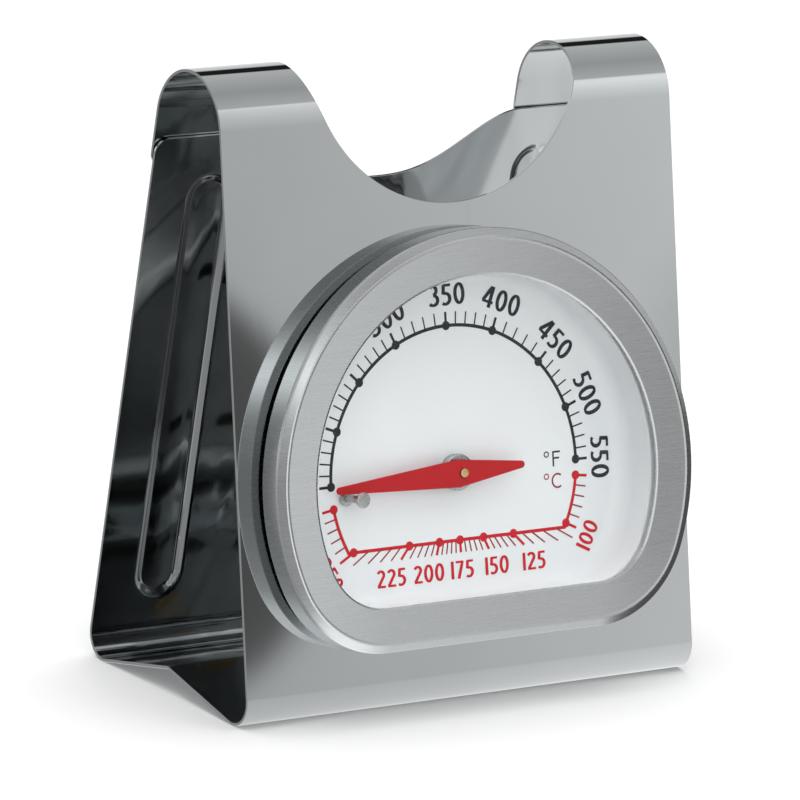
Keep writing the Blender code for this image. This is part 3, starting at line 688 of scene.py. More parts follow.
def at_height(point, along, height):
    """Where a line through a point reaches a height."""
    return point + along * ((height - point.y) / along.y)


def side_profile():
    """The strip's middle line as (kind, start, end, centre, angles), from the tail to the lap.

    Depth is the first coordinate and grows forward, height is the second.
    """
    half_pi = math.pi / 2
    front_normal = polar(FRONT_LEAN)
    tail_normal = polar(math.pi - BACK_LEAN)
    tail_up = Vector((math.sin(BACK_LEAN), math.cos(BACK_LEAN)))
    front_down = Vector((math.sin(FRONT_LEAN), -math.cos(FRONT_LEAN)))

    loop_rear = LOOP_CENTRE + LOOP_RADIUS * tail_normal
    loop_front = LOOP_CENTRE + LOOP_RADIUS * front_normal
    tail_end = at_height(loop_rear, tail_up, LAP_TAIL_Z)

    bend_end = SHEET / 2 + FRONT_BEND_RADIUS * (1.0 + front_normal.y)
    front_end = at_height(loop_front, front_down, bend_end)
    front_centre = front_end - FRONT_BEND_RADIUS * front_normal

    lap_origin = loop_rear - tail_normal * LAP_STEP
    bend_end = SHEET / 2 + REAR_BEND_RADIUS * (1.0 + tail_normal.y)
    back_low = at_height(lap_origin, tail_up, bend_end)
    rear_centre = back_low - REAR_BEND_RADIUS * tail_normal
    back_top = at_height(lap_origin, tail_up, BACK_TOP_Z)

    front_rise = polar(half_pi - RIDGE_FRONT_SLOPE)
    rear_rise = polar(half_pi + RIDGE_REAR_SLOPE)
    ramp_front = front_centre - FRONT_BEND_RADIUS * front_rise
    ramp_rear = rear_centre - REAR_BEND_RADIUS * rear_rise
    ridge_centre = bend_centre((ramp_front, front_rise), (ramp_rear, rear_rise), RIDGE_RADIUS, -1)

    return [
        ("line", tail_end, loop_rear),
        ("arc", LOOP_CENTRE, LOOP_RADIUS, math.pi - BACK_LEAN, FRONT_LEAN),
        ("line", loop_front, front_end),
        ("arc", front_centre, FRONT_BEND_RADIUS, FRONT_LEAN, -half_pi - RIDGE_FRONT_SLOPE),
        ("line", ramp_front, ridge_centre + RIDGE_RADIUS * front_rise),
        ("arc", ridge_centre, RIDGE_RADIUS, half_pi - RIDGE_FRONT_SLOPE, half_pi + RIDGE_REAR_SLOPE),
        ("line", ridge_centre + RIDGE_RADIUS * rear_rise, ramp_rear),
        ("arc", rear_centre, REAR_BEND_RADIUS, -half_pi + RIDGE_REAR_SLOPE, -math.pi - BACK_LEAN),
        ("line", back_low, back_top),
    ]


def piece_length(piece):
    if piece[0] == "line":
        return (piece[2] - piece[1]).length
    return piece[2] * abs(piece[4] - piece[3])


def on_profile(pieces, distance):
    """Point and outward normal of the strip at a distance along its middle line."""
    last = len(pieces) - 1
    for index, piece in enumerate(pieces):
        length = piece_length(piece)
        if distance <= length or index == last:
            break
        distance -= length
    if piece[0] == "line":
        along = (piece[2] - piece[1]).normalized()
        return piece[1] + along * distance, Vector((-along.y, along.x))
    turn = math.copysign(1.0, piece[4] - piece[3])
    radial = polar(piece[3] + turn * distance / piece[2])
    return piece[1] + radial * piece[2], radial * -turn


def bend_lines(pieces):
    """Distances along the strip where the sheet needs an edge, so that it can bend."""
    lines = []
    start = 0.0
    for piece in pieces[:-1]:
        length = piece_length(piece)
        if piece[0] == "arc":
            steps = max(4, round(abs(piece[4] - piece[3]) / BEND_STEP))
            lines += [start + length * step / steps for step in range(steps + 1)]
        start += length
    return lines


def distance_at_height(pieces, index, height):
    """Distance along the strip of a height on one of its straight pieces."""
    start = sum(piece_length(piece) for piece in pieces[:index])
    low, high = pieces[index][1], pieces[index][2]
    return start + piece_length(pieces[index]) * (height - low.y) / (high.y - low.y)


def saddle_points(length):
    """The wide S-sided dip in the back panel's top edge, from right to left."""
    points = []
    for step in range(-SADDLE_STEPS, SADDLE_STEPS + 1):
        x = -SADDLE_FLAT_X * step / SADDLE_STEPS
        fall = SADDLE_DROP * 0.5 * (1.0 + math.cos(math.pi * (abs(x) / SADDLE_FLAT_X) ** SADDLE_POWER))
        points.append((x, length - fall))
    return points


def blank_outline(pieces, length):
    """Outline of the flat sheet, anticlockwise: tail, saddle end, tail, and the scoop between."""
    half = STAND_WIDTH / 2
    reach = CORNER_RADIUS
    scoop_s = distance_at_height(pieces, FRONT_PANEL, SCOOP_BOTTOM_Z) - SCOOP_RADIUS
    right_angle = math.pi / 2
    outline = [(SCOOP_RADIUS, 0.0)]
    outline += arc_points((half - reach, reach), reach, -right_angle, 0.0, 10)
    outline += arc_points((half - reach, length - reach), reach, 0.0, right_angle, 10)
    outline += saddle_points(length)
    outline += arc_points((reach - half, length - reach), reach, right_angle, math.pi, 10)
    outline += arc_points((reach - half, reach), reach, math.pi, 3 * right_angle, 10)
    outline += [(-SCOOP_RADIUS, 0.0)]
    outline += arc_points((0.0, scoop_s), SCOOP_RADIUS, math.pi, 0.0, SCOOP_STEPS)
    return outline


def inside(outline, x, y):
    """True where a point lies inside an outline, by counting the edges to its right."""
    found = False
    for (x0, y0), (x1, y1) in zip(outline, outline[1:] + outline[:1]):
        if (y0 > y) != (y1 > y) and x < x0 + (y - y0) * (x1 - x0) / (y1 - y0):
            found = not found
    return found


class Relief:
    """What is pressed in the sheet: two ribs in the back panel, and welds through the lap."""

    def __init__(self, pieces):
        self.low = distance_at_height(pieces, BACK_PANEL, RIB_BOTTOM_Z) + RIB_SHOULDER
        self.high = distance_at_height(pieces, BACK_PANEL, RIB_TOP_Z) - RIB_SHOULDER
        self.weld_s = distance_at_height(pieces, 0, WELD_Z)

    def rib(self, x, s):
        """Outward lift of a rib: a soft outer shoulder, a steep wall and a slightly pillowed floor."""
        past = s - min(max(s, self.low), self.high)
        away = math.hypot(abs(x) - RIB_X, past)
        if away >= RIB_SHOULDER:
            return 0.0
        if away <= RIB_FLOOR:
            return RIB_DEPTH - RIB_PILLOW * (1.0 - (away / RIB_FLOOR) ** 2)
        down = ((RIB_SHOULDER - away) / (RIB_SHOULDER - RIB_FLOOR)) ** 1.2
        return RIB_DEPTH * down * down * (3.0 - 2.0 * down)

    def weld(self, x, s):
        """Inward dimple of a spot weld."""
        away = min(math.hypot(abs(x) - weld_x, s - self.weld_s) for weld_x in WELD_X)
        if away >= WELD_RADIUS:
            return 0.0
        return -WELD_DEPTH * math.cos(math.pi / 2 * away / WELD_RADIUS) ** 2

    def lift(self, x, s):
        if s > self.low - RIB_SHOULDER:
            return self.rib(x, s)
        if s < self.weld_s + WELD_RADIUS:
            return self.weld(x, s)
        return 0.0

    def rings(self):
        """Closed outlines round each rib and weld, where the sheet needs edges to carry them."""
        rings = []
        walls = 10
        radii = [RIB_FLOOR + (RIB_SHOULDER - RIB_FLOOR) * step / walls for step in range(walls + 1)]
        middle = (self.low + self.high) / 2
        for side in (-1, 1):
            for radius in [0.9, 1.9] + radii:
                half_length = (self.high - self.low) / 2 + radius
                rings.append(stadium((side * RIB_X, middle), radius, half_length, 1, 18))
            for weld_x in WELD_X:
                for share in (0.25, 0.5, 0.75, 1.0):
                    rings.append(circle((side * weld_x, self.weld_s), share * WELD_RADIUS, 20))
        return rings


def sheet_triangles(outline, hole, rings, lines):
    """Triangles that fill the flat sheet, with edges along every outline, ring and bend line."""
    points = []
    edges = []
    for loop in [outline, hole] + rings:
        first = len(points)
        points += [Vector(point) for point in loop]
        edges += [(first + i, first + (i + 1) % len(loop)) for i in range(len(loop))]
    reach = STAND_WIDTH / 2 + CUT_PAST
    for s in lines:
        edges.append((len(points), len(points) + 1))
        points += [Vector((-reach, s)), Vector((reach, s))]
    flat, _, faces = delaunay_2d_cdt(points, edges, [], 0, 0.0005)[:3]
    kept = []
    for face in faces:
        middle = sum((flat[i] for i in face), Vector((0.0, 0.0))) / len(face)
        if inside(outline, *middle) and not inside(hole, *middle):
            kept.append(face)
    return flat, kept


def rim_loops(flat, faces):
    """Each border vertex of the flat sheet with its outward direction, and the border's edges."""
    directed = set()
    for face in faces:
        for a, b in zip(face, face[1:] + face[:1]):
            directed.add((a, b))
    border = [(a, b) for a, b in directed if (b, a) not in directed]
    outward = {}
    for a, b in sorted(border):
        edge = (flat[b] - flat[a]).normalized()
        for i in (a, b):
            outward[i] = outward.get(i, Vector((0.0, 0.0))) + Vector((edge.y, -edge.x))
    return sorted(border), {i: direction.normalized() for i, direction in outward.items()}


def thickened(flat, faces, placed):
    """A closed sheet with broken edges; placed(x, s) gives a flat point's place and outward normal."""
    border, outward = rim_loops(flat, faces)
    shape = bmesh.new()
    normals = []

    def vertex(point, normal):
        normals.append(normal)
        return shape.verts.new(point)

    outer, inner = {}, {}
    rim_outer, rim_inner = {}, {}
    for i in sorted({i for face in faces for i in face}):
        x, s = flat[i]
        if i in outward:
            break_x, break_s = flat[i] - outward[i] * EDGE_BREAK
            point, normal = placed(break_x, break_s)
            edge_point, edge_normal = placed(x, s)
            side = (edge_point - point).normalized()
            rise = SHEET / 2 - EDGE_BREAK
            rim_outer[i] = vertex(edge_point + edge_normal * rise, side)
            rim_inner[i] = vertex(edge_point - edge_normal * rise, side)
        else:
            point, normal = placed(x, s)
        outer[i] = vertex(point + normal * SHEET / 2, normal)
        inner[i] = vertex(point - normal * SHEET / 2, -normal)
    for face in faces:
        shape.faces.new([outer[i] for i in face])
        shape.faces.new([inner[i] for i in reversed(face)])
    for a, b in border:
        rows = (outer, rim_outer, rim_inner, inner)
        for first, second in zip(rows, rows[1:]):
            shape.faces.new((first[a], first[b], second[b], second[a]))
    mesh = mesh_of(shape)
    mesh.shade_smooth()
    mesh.normals_split_custom_set_from_vertices(normals)
    return mesh


def stand_mesh():
    """The bent sheet as one closed mesh with true normals, in millimetres."""
    pieces = side_profile()
    length = sum(piece_length(piece) for piece in pieces)
    relief = Relief(pieces)
    gauge_z = GAUGE.translation.z / MM - SHEET / 2 * math.sin(FRONT_LEAN)
    gauge_s = distance_at_height(pieces, FRONT_PANEL, gauge_z)
    hole = [(x, gauge_s - y) for x, y in d_outline(HOLE_INSET)]
    outline = blank_outline(pieces, length)
    flat, faces = sheet_triangles(outline, hole, relief.rings(), bend_lines(pieces))

    def middle(x, s):
        point, normal = on_profile(pieces, s)
        bent = point + normal * relief.lift(x, s)
        return Vector((x, -bent.x, bent.y))

    def placed(x, s):
        """Place and outward normal of a point of the sheet's middle."""
        small = 0.01
        across = middle(x + small, s) - middle(x - small, s)
        along = middle(x, s + small) - middle(x, s - small)
        return middle(x, s), along.cross(across).normalized()

    return thickened(flat, faces, placed)


def build_stand(steel):
    mesh = stand_mesh()
    rear = max(vertex.co.y for vertex in mesh.vertices)
    mesh.transform(Matrix.Translation((0.0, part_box("stand_sheet")[1].y / MM - rear, 0.0)))
    stand_in("stand_sheet", mesh, steel, axes=Matrix.Identity(4))


# Gauge

def build_bezel(steel):
    """Drawn bezel: crimped in behind, sloping shoulder, fine raised crease and slightly coned face."""
    sheet = BEZEL_SHEET
    curl = 2.4
    crease = BEZEL_CREASE_INSET
    lip = OPENING_INSET
    low = BEZEL_FACE - BEZEL_CONE
    corners = [
        (curl, BEZEL_REAR, 0.2),
        (0.95, BEZEL_REAR, 0.3),
        (0.0, BEZEL_REAR + 0.9, 0.3),
        (0.0, low - 0.85, BEZEL_SHOULDER),
        (crease, low, 0.06),
        (crease + 0.25, low + 0.06, 0.06),
        (crease + 0.6, low + 0.02, 0.1),
        (lip - 0.32, BEZEL_FACE, 0.1),
        (lip, BEZEL_FACE - 0.09, 0.08),
        (lip, BEZEL_FACE - sheet, 0.12),
        (crease, low - sheet + 0.05, 0.2),
        (sheet, low - sheet - 0.75, 0.3),
        (sheet, BEZEL_REAR + 1.1, 0.2),
        (1.1, BEZEL_REAR + sheet, 0.2),
        (curl, BEZEL_REAR + sheet, 0.12),
    ]
    mesh = d_loft(corners, True)
    for vertex in mesh.vertices:
        inset = d_inset(vertex.co.x, vertex.co.y)
        vertex.co.x += BEZEL_ASIDE * (1.0 - inset / lip)
    finish_edges(stand_in("bezel", mesh, steel))


def build_glass(glass):
    rear = GLASS_FRONT - GLASS_THICKNESS
    edge = [(GLASS_INSET, GLASS_FRONT, 0.2), (GLASS_INSET, rear, 0.2)]
    corners = [(GLASS_MIDDLE, GLASS_FRONT, 0)] + edge + [(GLASS_MIDDLE, rear, 0)]
    finish_edges(stand_in("glass_lens", d_loft(corners), glass))


def build_lens_seal(fibre):
    front = GLASS_FRONT - GLASS_THICKNESS - SEAT_GAP
    rear = front - SEAL_THICKNESS
    inner = GLASS_INSET + SEAL_WIDTH
    corners = [(GLASS_INSET, front, 0.1), (inner, front, 0.1), (inner, rear, 0.1), (GLASS_INSET, rear, 0.1)]
    finish_edges(stand_in("lens_seal", d_loft(corners, True), fibre))


def build_dial_tray(enamel):
    """White tray: flat dial floor, wall curving up, and a rim that lies under the glass."""
    back = DIAL_FACE - TRAY_SHEET
    wall_back = TRAY_WALL_INSET - TRAY_SHEET
    floor = TRAY_WALL_INSET + TRAY_FILLET + FLOOR_MARGIN
    rim = 1.0
    corners = [
        (floor, DIAL_FACE, 0),
        (TRAY_WALL_INSET, DIAL_FACE, TRAY_FILLET),
        (TRAY_WALL_INSET, TRAY_RIM, 0.3),
        (rim, TRAY_RIM, 0.1),
        (rim, TRAY_RIM - TRAY_SHEET, 0.1),
        (wall_back, TRAY_RIM - TRAY_SHEET, 0),
        (wall_back, back, TRAY_FILLET + TRAY_SHEET),
        (floor, back, 0),
    ]
    mesh = d_loft(corners, step_degrees=TRAY_ARC_STEP)
    holes = [circle((0.0, 0.0), BUSHING_NECK + SEAT_GAP), circle(STOP_PIN_AT, STOP_PIN_NECK + SEAT_GAP)]
    mesh = drilled(mesh, holes, back, DIAL_FACE)
    finish_edges(stand_in("dial_tray", mesh, enamel))


def build_case(steel):
    """Rear pan with a flange, an upturned rim and vent slots in its back."""
    sheet = PAN_SHEET
    rim_inner = CASE_RIM_INSET + sheet
    wall_inner = CASE_WALL_INSET + sheet
    floor = CASE_WALL_INSET + CASE_FILLET + FLOOR_MARGIN
    corners = [
        (floor, CASE_BACK + sheet, 0),
        (wall_inner, CASE_BACK + sheet, CASE_FILLET - sheet),
        (wall_inner, CASE_FLANGE, 0.4),
        (rim_inner, CASE_FLANGE, 0.3),
        (rim_inner, CASE_RIM, 0.1),
        (CASE_RIM_INSET, CASE_RIM, 0.1),
        (CASE_RIM_INSET, CASE_FLANGE - sheet, 0.6),
        (CASE_WALL_INSET, CASE_FLANGE - sheet, 0.1),
        (CASE_WALL_INSET, CASE_BACK, CASE_FILLET),
        (floor, CASE_BACK, 0),
    ]
    holes = [circle((0.0, 0.0), BEARING_NECK + SEAT_GAP), rivet_hole()]
    for x in VENT_COLUMNS:
        holes += [stadium((x, y), VENT_HALF_WIDTH, VENT_HALF_LENGTH, 0, 14) for y in VENT_ROWS]
    mesh = drilled(d_loft(corners), holes, CASE_BACK, CASE_BACK + sheet)
    finish_edges(stand_in("case_pan", mesh, steel))


def build_clamp_ring(steel):
    front = -SHEET - SEAT_GAP
    collar = CLAMP_INSET - PAN_SHEET
    corners = [
        (CLAMP_INSET, front, 0.6),
        (CLAMP_INSET - CLAMP_FLANGE, front, 0.1),
        (CLAMP_INSET - CLAMP_FLANGE, front - PAN_SHEET, 0.1),
        (collar, front - PAN_SHEET, 0.1),
        (collar, front - CLAMP_COLLAR, 0.1),
        (CLAMP_INSET, front - CLAMP_COLLAR, 0.1),
    ]
    finish_edges(stand_in("clamp_ring", d_loft(corners, True), steel))


def add_turned(node, corners, material, body="root", at=(0.0, 0.0), bored=False):
    """A turned piece that stands for a CAD node."""
    axes = POINTER if body == "pointer_assembly" else GAUGE
    axes = axes @ Matrix.Translation((at[0] * MM, at[1] * MM, 0.0))
    finish_edges(stand_in(node, turned(corners, bored), material, body, axes))


def build_bushing(steel):
    flare = 0.7
    corners = [
        (ARBOR_BORE, BUSHING_FRONT, 0.1),
        (BUSHING_RADIUS, BUSHING_FRONT, 0.3),
        (BUSHING_RADIUS, DIAL_SEAT, 0.05),
        (BUSHING_NECK, DIAL_SEAT, 0),
        (BUSHING_NECK, DIAL_REAR_SEAT, 0),
        (BUSHING_NECK + flare, DIAL_REAR_SEAT, 0.1),
        (BUSHING_NECK + flare / 2, DIAL_REAR_SEAT - flare, 0.1),
        (ARBOR_BORE, DIAL_REAR_SEAT - flare, 0.1),
    ]
    add_turned("arbor_bushing", corners, steel, bored=True)


def build_stop_pin(steel):
    rivet = 0.5
    corners = [
        (STOP_PIN_FLANGE, STOP_PIN_FRONT, 0.15),
        (STOP_PIN_FLANGE, STOP_PIN_FRONT - STOP_PIN_HEAD, 0.1),
        (STOP_PIN_SHANK, STOP_PIN_FRONT - STOP_PIN_HEAD, 0.1),
        (STOP_PIN_SHANK, DIAL_SEAT + STOP_PIN_HEAD, 0.1),
        (STOP_PIN_FLANGE, DIAL_SEAT + STOP_PIN_HEAD, 0.1),
        (STOP_PIN_FLANGE, DIAL_SEAT, 0.05),
        (STOP_PIN_NECK, DIAL_SEAT, 0),
        (STOP_PIN_NECK, DIAL_REAR_SEAT, 0),
        (STOP_PIN_NECK + rivet, DIAL_REAR_SEAT, 0.1),
        (STOP_PIN_NECK, DIAL_REAR_SEAT - rivet, 0.1),
    ]
    add_turned("stop_pin", corners, steel, at=STOP_PIN_AT)


def build_rear_bearing(brass):
    outer_seat = CASE_BACK - SEAT_GAP
    flange = 0.7
    corners = [
        (BEARING_FLANGE - flange / 2, BEARING_REAR, 0.2),
        (BEARING_FLANGE, outer_seat, 0.1),
        (BEARING_NECK, outer_seat, 0),
        (BEARING_NECK, CASE_SEAT, 0),
        (BEARING_FLANGE, CASE_SEAT, 0.1),
        (BEARING_FLANGE, CASE_SEAT + flange, 0.15),
        (ARBOR_BORE, CASE_SEAT + flange, 0.1),
        (ARBOR_BORE, ARBOR_REAR - RUNNING_GAP, 0),
    ]
    add_turned("rear_bearing", corners, brass)


def build_arbor(brass):
    corners = [(ARBOR_RADIUS, ARBOR_FRONT, 0.2), (ARBOR_RADIUS, ARBOR_REAR, 0.15)]
    add_turned("arbor", corners, brass, "pointer_assembly")


def build_collars(brass):
    """The washer under the pointer, and the collet that the coil's inner end is fixed to."""
    overlap = 0.4
    washer = (1.5, POINTER_FACE - POINTER_THICKNESS - RUNNING_GAP, BUSHING_FRONT + RUNNING_GAP)
    collet = (COLLET_RADIUS, COIL_REAR + COIL_WIDTH + overlap, COIL_REAR - overlap)
    for node, (rim, top, base) in (("pointer_washer", washer), ("coil_collet", collet)):
        corners = [(ARBOR_BORE, top, 0.08), (rim, top, 0.12), (rim, base, 0.12), (ARBOR_BORE, base, 0.08)]
        add_turned(node, corners, brass, "pointer_assembly", bored=True)


def build_pointer(enamel):
    """Kite-shaped blade: long reading end, widest just past the pivot, short blunt tail."""
    tip_at = (POINTER_TIP - POINTER_TIP_HALF, 0.0)
    tip = arc_points(tip_at, POINTER_TIP_HALF, -POINTER_TIP_TURN, POINTER_TIP_TURN, 14)
    tail_at = -POINTER_TAIL + POINTER_TAIL_HALF / 2
    tail = arc_points((tail_at, 0.0), POINTER_TAIL_HALF, 0.6 * math.pi, 1.4 * math.pi, 8)
    outline = tip + [(POINTER_WIDEST, POINTER_HALF)] + tail + [(POINTER_WIDEST, -POINTER_HALF)]
    back = POINTER_FACE - POINTER_THICKNESS
    bore = circle((0.0, 0.0), ARBOR_RADIUS + RUNNING_GAP / 2)
    mesh = drilled(prisms([outline], back, POINTER_FACE), [bore], back, POINTER_FACE)
    finish_edges(stand_in("pointer", mesh, enamel, "pointer_assembly", POINTER), bevel=0.06)


def build_coil(strip):
    """Flat strip wound in a spiral about the arbor."""
    count = round(COIL_TURNS * COIL_STEPS_PER_TURN)
    shape = bmesh.new()
    rows = []
    for step in range(count + 1):
        share = step / count
        around = polar(math.tau * COIL_TURNS * share)
        radius = COIL_INNER + (COIL_OUTER - COIL_INNER) * share
        half = COIL_THICKNESS / 2
        section = ((-half, 0.0), (half, 0.0), (half, COIL_WIDTH), (-half, COIL_WIDTH))
        rows.append([shape.verts.new((*(around * (radius + aside)), COIL_REAR + rise))
                     for aside, rise in section])
    bridge(shape, rows)
    finish_edges(stand_in("bimetal_coil", mesh_of(shape), strip), bevel=0.04)


def anchor_place():
    return COIL_OUTER + COIL_THICKNESS / 2 + SEAT_GAP


def rivet_place():
    return 0.0, anchor_place() + (ANCHOR_FOOT + ANCHOR_LEAF) / 2


def rivet_hole():
    return circle(rivet_place(), RIVET_RADIUS + RUNNING_GAP, 32)


def build_coil_anchor(steel):
    """L-shaped bracket on the case's back that holds the coil's outer end, and its rivet."""
    front = COIL_REAR + COIL_WIDTH
    leaf = ANCHOR_LEAF
    top = CASE_SEAT + leaf
    corners = [
        (0, CASE_SEAT, 0.7), (ANCHOR_FOOT, CASE_SEAT, 0.05), (ANCHOR_FOOT, top, 0.05),
        (leaf, top, 0.3), (leaf, front, 0.05), (0, front, 0.05),
    ]
    mesh = prisms([rounded(corners)], -ANCHOR_WIDTH / 2, ANCHOR_WIDTH / 2)
    stand_up = Matrix(((0, 0, 1, 0), (1, 0, 0, anchor_place()), (0, 1, 0, 0), (0, 0, 0, 1)))
    mesh.transform(stand_up)
    mesh = drilled(mesh, [rivet_hole()], CASE_SEAT, top)
    finish_edges(stand_in("coil_anchor", mesh, steel), bevel=0.04)

    head = 0.4
    front_seat = top + RUNNING_GAP
    rear_seat = CASE_BACK - RUNNING_GAP
    corners = [
        (RIVET_HEAD, front_seat + head, 0.3),
        (RIVET_HEAD, front_seat, 0.05),
        (RIVET_RADIUS, front_seat, 0),
        (RIVET_RADIUS, rear_seat, 0),
        (RIVET_HEAD, rear_seat, 0.05),
        (RIVET_HEAD, rear_seat - head, 0.3),
    ]
    add_turned("anchor_rivet", corners, steel, at=rivet_place())


# Printing on the dial

def ribbon(points, level, upright=None):
    """Quads along a line, as wide as level where it runs level and as upright where it stands up."""
    points = [Vector(point) for point in points]
    gain = 0.0 if upright is None else upright - level
    quads = []
    last = len(points) - 1
    rails = []
    for index, point in enumerate(points):
        direction = (points[min(index + 1, last)] - points[max(index - 1, 0)]).normalized()
        aside = Vector((-direction.y, direction.x)) * (level + gain * abs(direction.y)) / 2
        rails.append((point + aside, point - aside))
    for (a, b), (c, d) in zip(rails, rails[1:]):
        quads.append([b, d, c, a])
    return quads


def dot(at):
    return [[Vector(point) for point in circle(at, DOT_RADIUS, 24)]]


def oval(centre, radii, start, end, steps=22):
    """Points on an ellipse's arc, angles in degrees."""
    points = []
    for step in range(steps + 1):
        angle = math.radians(start + (end - start) * step / steps)
        along = Vector((radii[0] * math.cos(angle), radii[1] * math.sin(angle)))
        points.append(Vector(centre) + along)
    return points


# A figure is (its width, its strokes) on a height of 1
FIGURES = {
    "0": (0.62, [oval((0.31, 0.5), (0.2175, 0.435), 0, 360, 40)]),
    "1": (0.20, [[(0.10, 0.0), (0.10, 1.0)]]),
    "2": (0.58, [
        oval((0.275, 0.73), (0.20, 0.205), 158, -38) + [(0.10, 0.08)],
        [(0.03, 0.065), (0.57, 0.065)],
    ]),
    "3": (0.59, [
        oval((0.25, 0.745), (0.19, 0.19), 140, -88),
        oval((0.25, 0.295), (0.2475, 0.23), 88, -140),
    ]),
    "4": (0.66, [
        [(0.41, 0.98), (0.07, 0.27)],
        [(0.03, 0.265), (0.64, 0.265)],
        [(0.46, 0.0), (0.46, 1.0)],
    ]),
    "5": (0.56, [
        [(0.12, 0.935), (0.52, 0.935)],
        [(0.145, 0.97), (0.12, 0.52)],
        oval((0.215, 0.315), (0.25, 0.25), 112, -128),
    ]),
    "7": (0.56, [
        [(0.03, 0.935), (0.54, 0.935)],
        [(0.485, 0.97), (0.19, 0.0)],
    ]),
}


def figures(number, centre, height, tilt):
    """A number's quads: centred on a point, and turned by tilt in degrees."""
    text = str(number)
    total = sum(FIGURES[mark][0] for mark in text) + FIGURE_GAP * (len(text) - 1)
    turn = Matrix.Rotation(math.radians(tilt), 2)
    start = -total / 2
    quads = []
    for mark in text:
        width, strokes = FIGURES[mark]
        for stroke in strokes:
            for quad in ribbon(stroke, FIGURE_LEVEL_STROKE, FIGURE_UPRIGHT_STROKE):
                local = [(point + Vector((start, -0.5))) * height for point in quad]
                quads.append([turn @ point + Vector(centre) for point in local])
        start += width + FIGURE_GAP
    return quads


def fahrenheit_angle(value):
    """Angle of a temperature on the black scale, between its stated marks."""
    marks = sorted(FAHRENHEIT_AT)
    low = max(mark for mark in marks[:-1] if mark <= value)
    high = low + FAHRENHEIT_STEP
    share = (value - low) / FAHRENHEIT_STEP
    return math.radians(FAHRENHEIT_AT[low] + (FAHRENHEIT_AT[high] - FAHRENHEIT_AT[low]) * share)


def celsius_angle(value):
    """The red scale stands opposite the black one, at the same temperatures."""
    return fahrenheit_angle(1.8 * value + 32.0) + math.pi


def black_print():
    """The upper scale with its figures, in degrees Fahrenheit."""
    first, last = min(FAHRENHEIT_AT), max(FAHRENHEIT_AT)
    start, end = fahrenheit_angle(first), fahrenheit_angle(last)
    quads = ribbon(arc_points((0.0, 0.0), SCALE_RADIUS, start, end, 96), SCALE_LINE)
    for value in range(first, last + 1, FAHRENHEIT_TICK):
        way = polar(fahrenheit_angle(value))
        bold = value in FAHRENHEIT_AT
        quads += ribbon([way * SCALE_RADIUS, way * TICK_END], MARK_WIDTH if bold else TICK_WIDTH)
        if bold:
            quads += dot(way * SCALE_RADIUS)
            tilt = math.degrees(fahrenheit_angle(value)) - 90.0
            aside = BLACK_FIGURES_ASIDE.get(value, 0.0)
            centre = (aside + way.x * BLACK_FIGURES_RADIUS, way.y * BLACK_FIGURES_RADIUS)
            quads += figures(value, centre, BLACK_FIGURES_HEIGHT, tilt)
    return quads


def chord_point(value):
    """Where a temperature meets the red scale: its side arcs, or the level line between them."""
    way = polar(celsius_angle(value))
    on_arc = way * SCALE_RADIUS
    return way, on_arc if on_arc.y > CHORD_Y else way * (CHORD_Y / way.y)


def red_print():
    """The lower scale with its figures, in degrees Celsius, and apart from them its thin ticks."""
    corner = math.asin(CHORD_Y / SCALE_RADIUS)
    quads = []
    ticks = []
    for value, end in ((min(CELSIUS_MARKS), corner + math.tau), (max(CELSIUS_MARKS), math.pi - corner)):
        quads += ribbon(arc_points((0.0, 0.0), SCALE_RADIUS, celsius_angle(value), end, 24), SCALE_LINE)
    reach = SCALE_RADIUS * math.cos(corner) + SCALE_LINE / 2
    quads += ribbon([(-reach, CHORD_Y), (reach, CHORD_Y)], SCALE_LINE)
    for value in range(min(CELSIUS_MARKS), max(CELSIUS_MARKS) + 1, CELSIUS_TICK):
        way, foot = chord_point(value)
        bold = value in CELSIUS_MARKS
        end = way * TICK_END
        if foot.y <= CHORD_Y + 0.01 and (way * (CHORD_TICK_END / way.y)).length < TICK_END:
            end = way * (CHORD_TICK_END / way.y)
        if bold:
            quads += ribbon([foot, end], MARK_WIDTH) + dot(foot)
        else:
            clear = foot.lerp(end, 0.5 * SCALE_LINE / (end - foot).length)
            ticks += ribbon([clear, end], TICK_WIDTH)
    for value, x in RED_FIGURES_X.items():
        quads += figures(value, (x, RED_FIGURES_Y), RED_FIGURES_HEIGHT, 0.0)
    for value, degrees in RED_CORNER_AT.items():
        centre = polar(math.radians(degrees)) * RED_CORNER_RADIUS
        quads += figures(value, centre, RED_FIGURES_HEIGHT, degrees + 90.0)
    return quads, ticks


def unit_letter(kind, x, y):
    """A thin F or C with its degree ring, left of the letter."""
    stroke = UNIT_STROKE
    width = 0.55 * UNIT_HEIGHT
    low, high = y - UNIT_HEIGHT / 2, y + UNIT_HEIGHT / 2
    ring_at = (x - DEGREE_RING_ASIDE, high - DEGREE_RING_DROP)
    quads = ribbon(oval(ring_at, (DEGREE_RING_RADIUS, DEGREE_RING_RADIUS), 0, 360, 24), DEGREE_RING_STROKE)
    if kind == "F":
        left = x - width / 2
        top = high - stroke / 2
        bar = y + 0.1
        strokes = [
            [(left, low), (left, high)],
            [(left, top), (left + width, top)],
            [(left, bar), (left + width * 0.85, bar)],
        ]
    else:
        strokes = [oval((x + 0.15, y), (0.75 * width, UNIT_HEIGHT / 2 - stroke / 2), 50, 310, 30)]
    for points in strokes:
        quads += ribbon(points, stroke)
    return quads


def tray_height(x, y):
    """Height of the tray's surface, flat in the middle and curving up towards the wall."""
    into_fillet = TRAY_WALL_INSET + TRAY_FILLET - d_inset(x, y)
    if into_fillet <= 0.0:
        return DIAL_FACE
    return DIAL_FACE + TRAY_FILLET - math.sqrt(TRAY_FILLET ** 2 - min(into_fillet, TRAY_FILLET) ** 2)


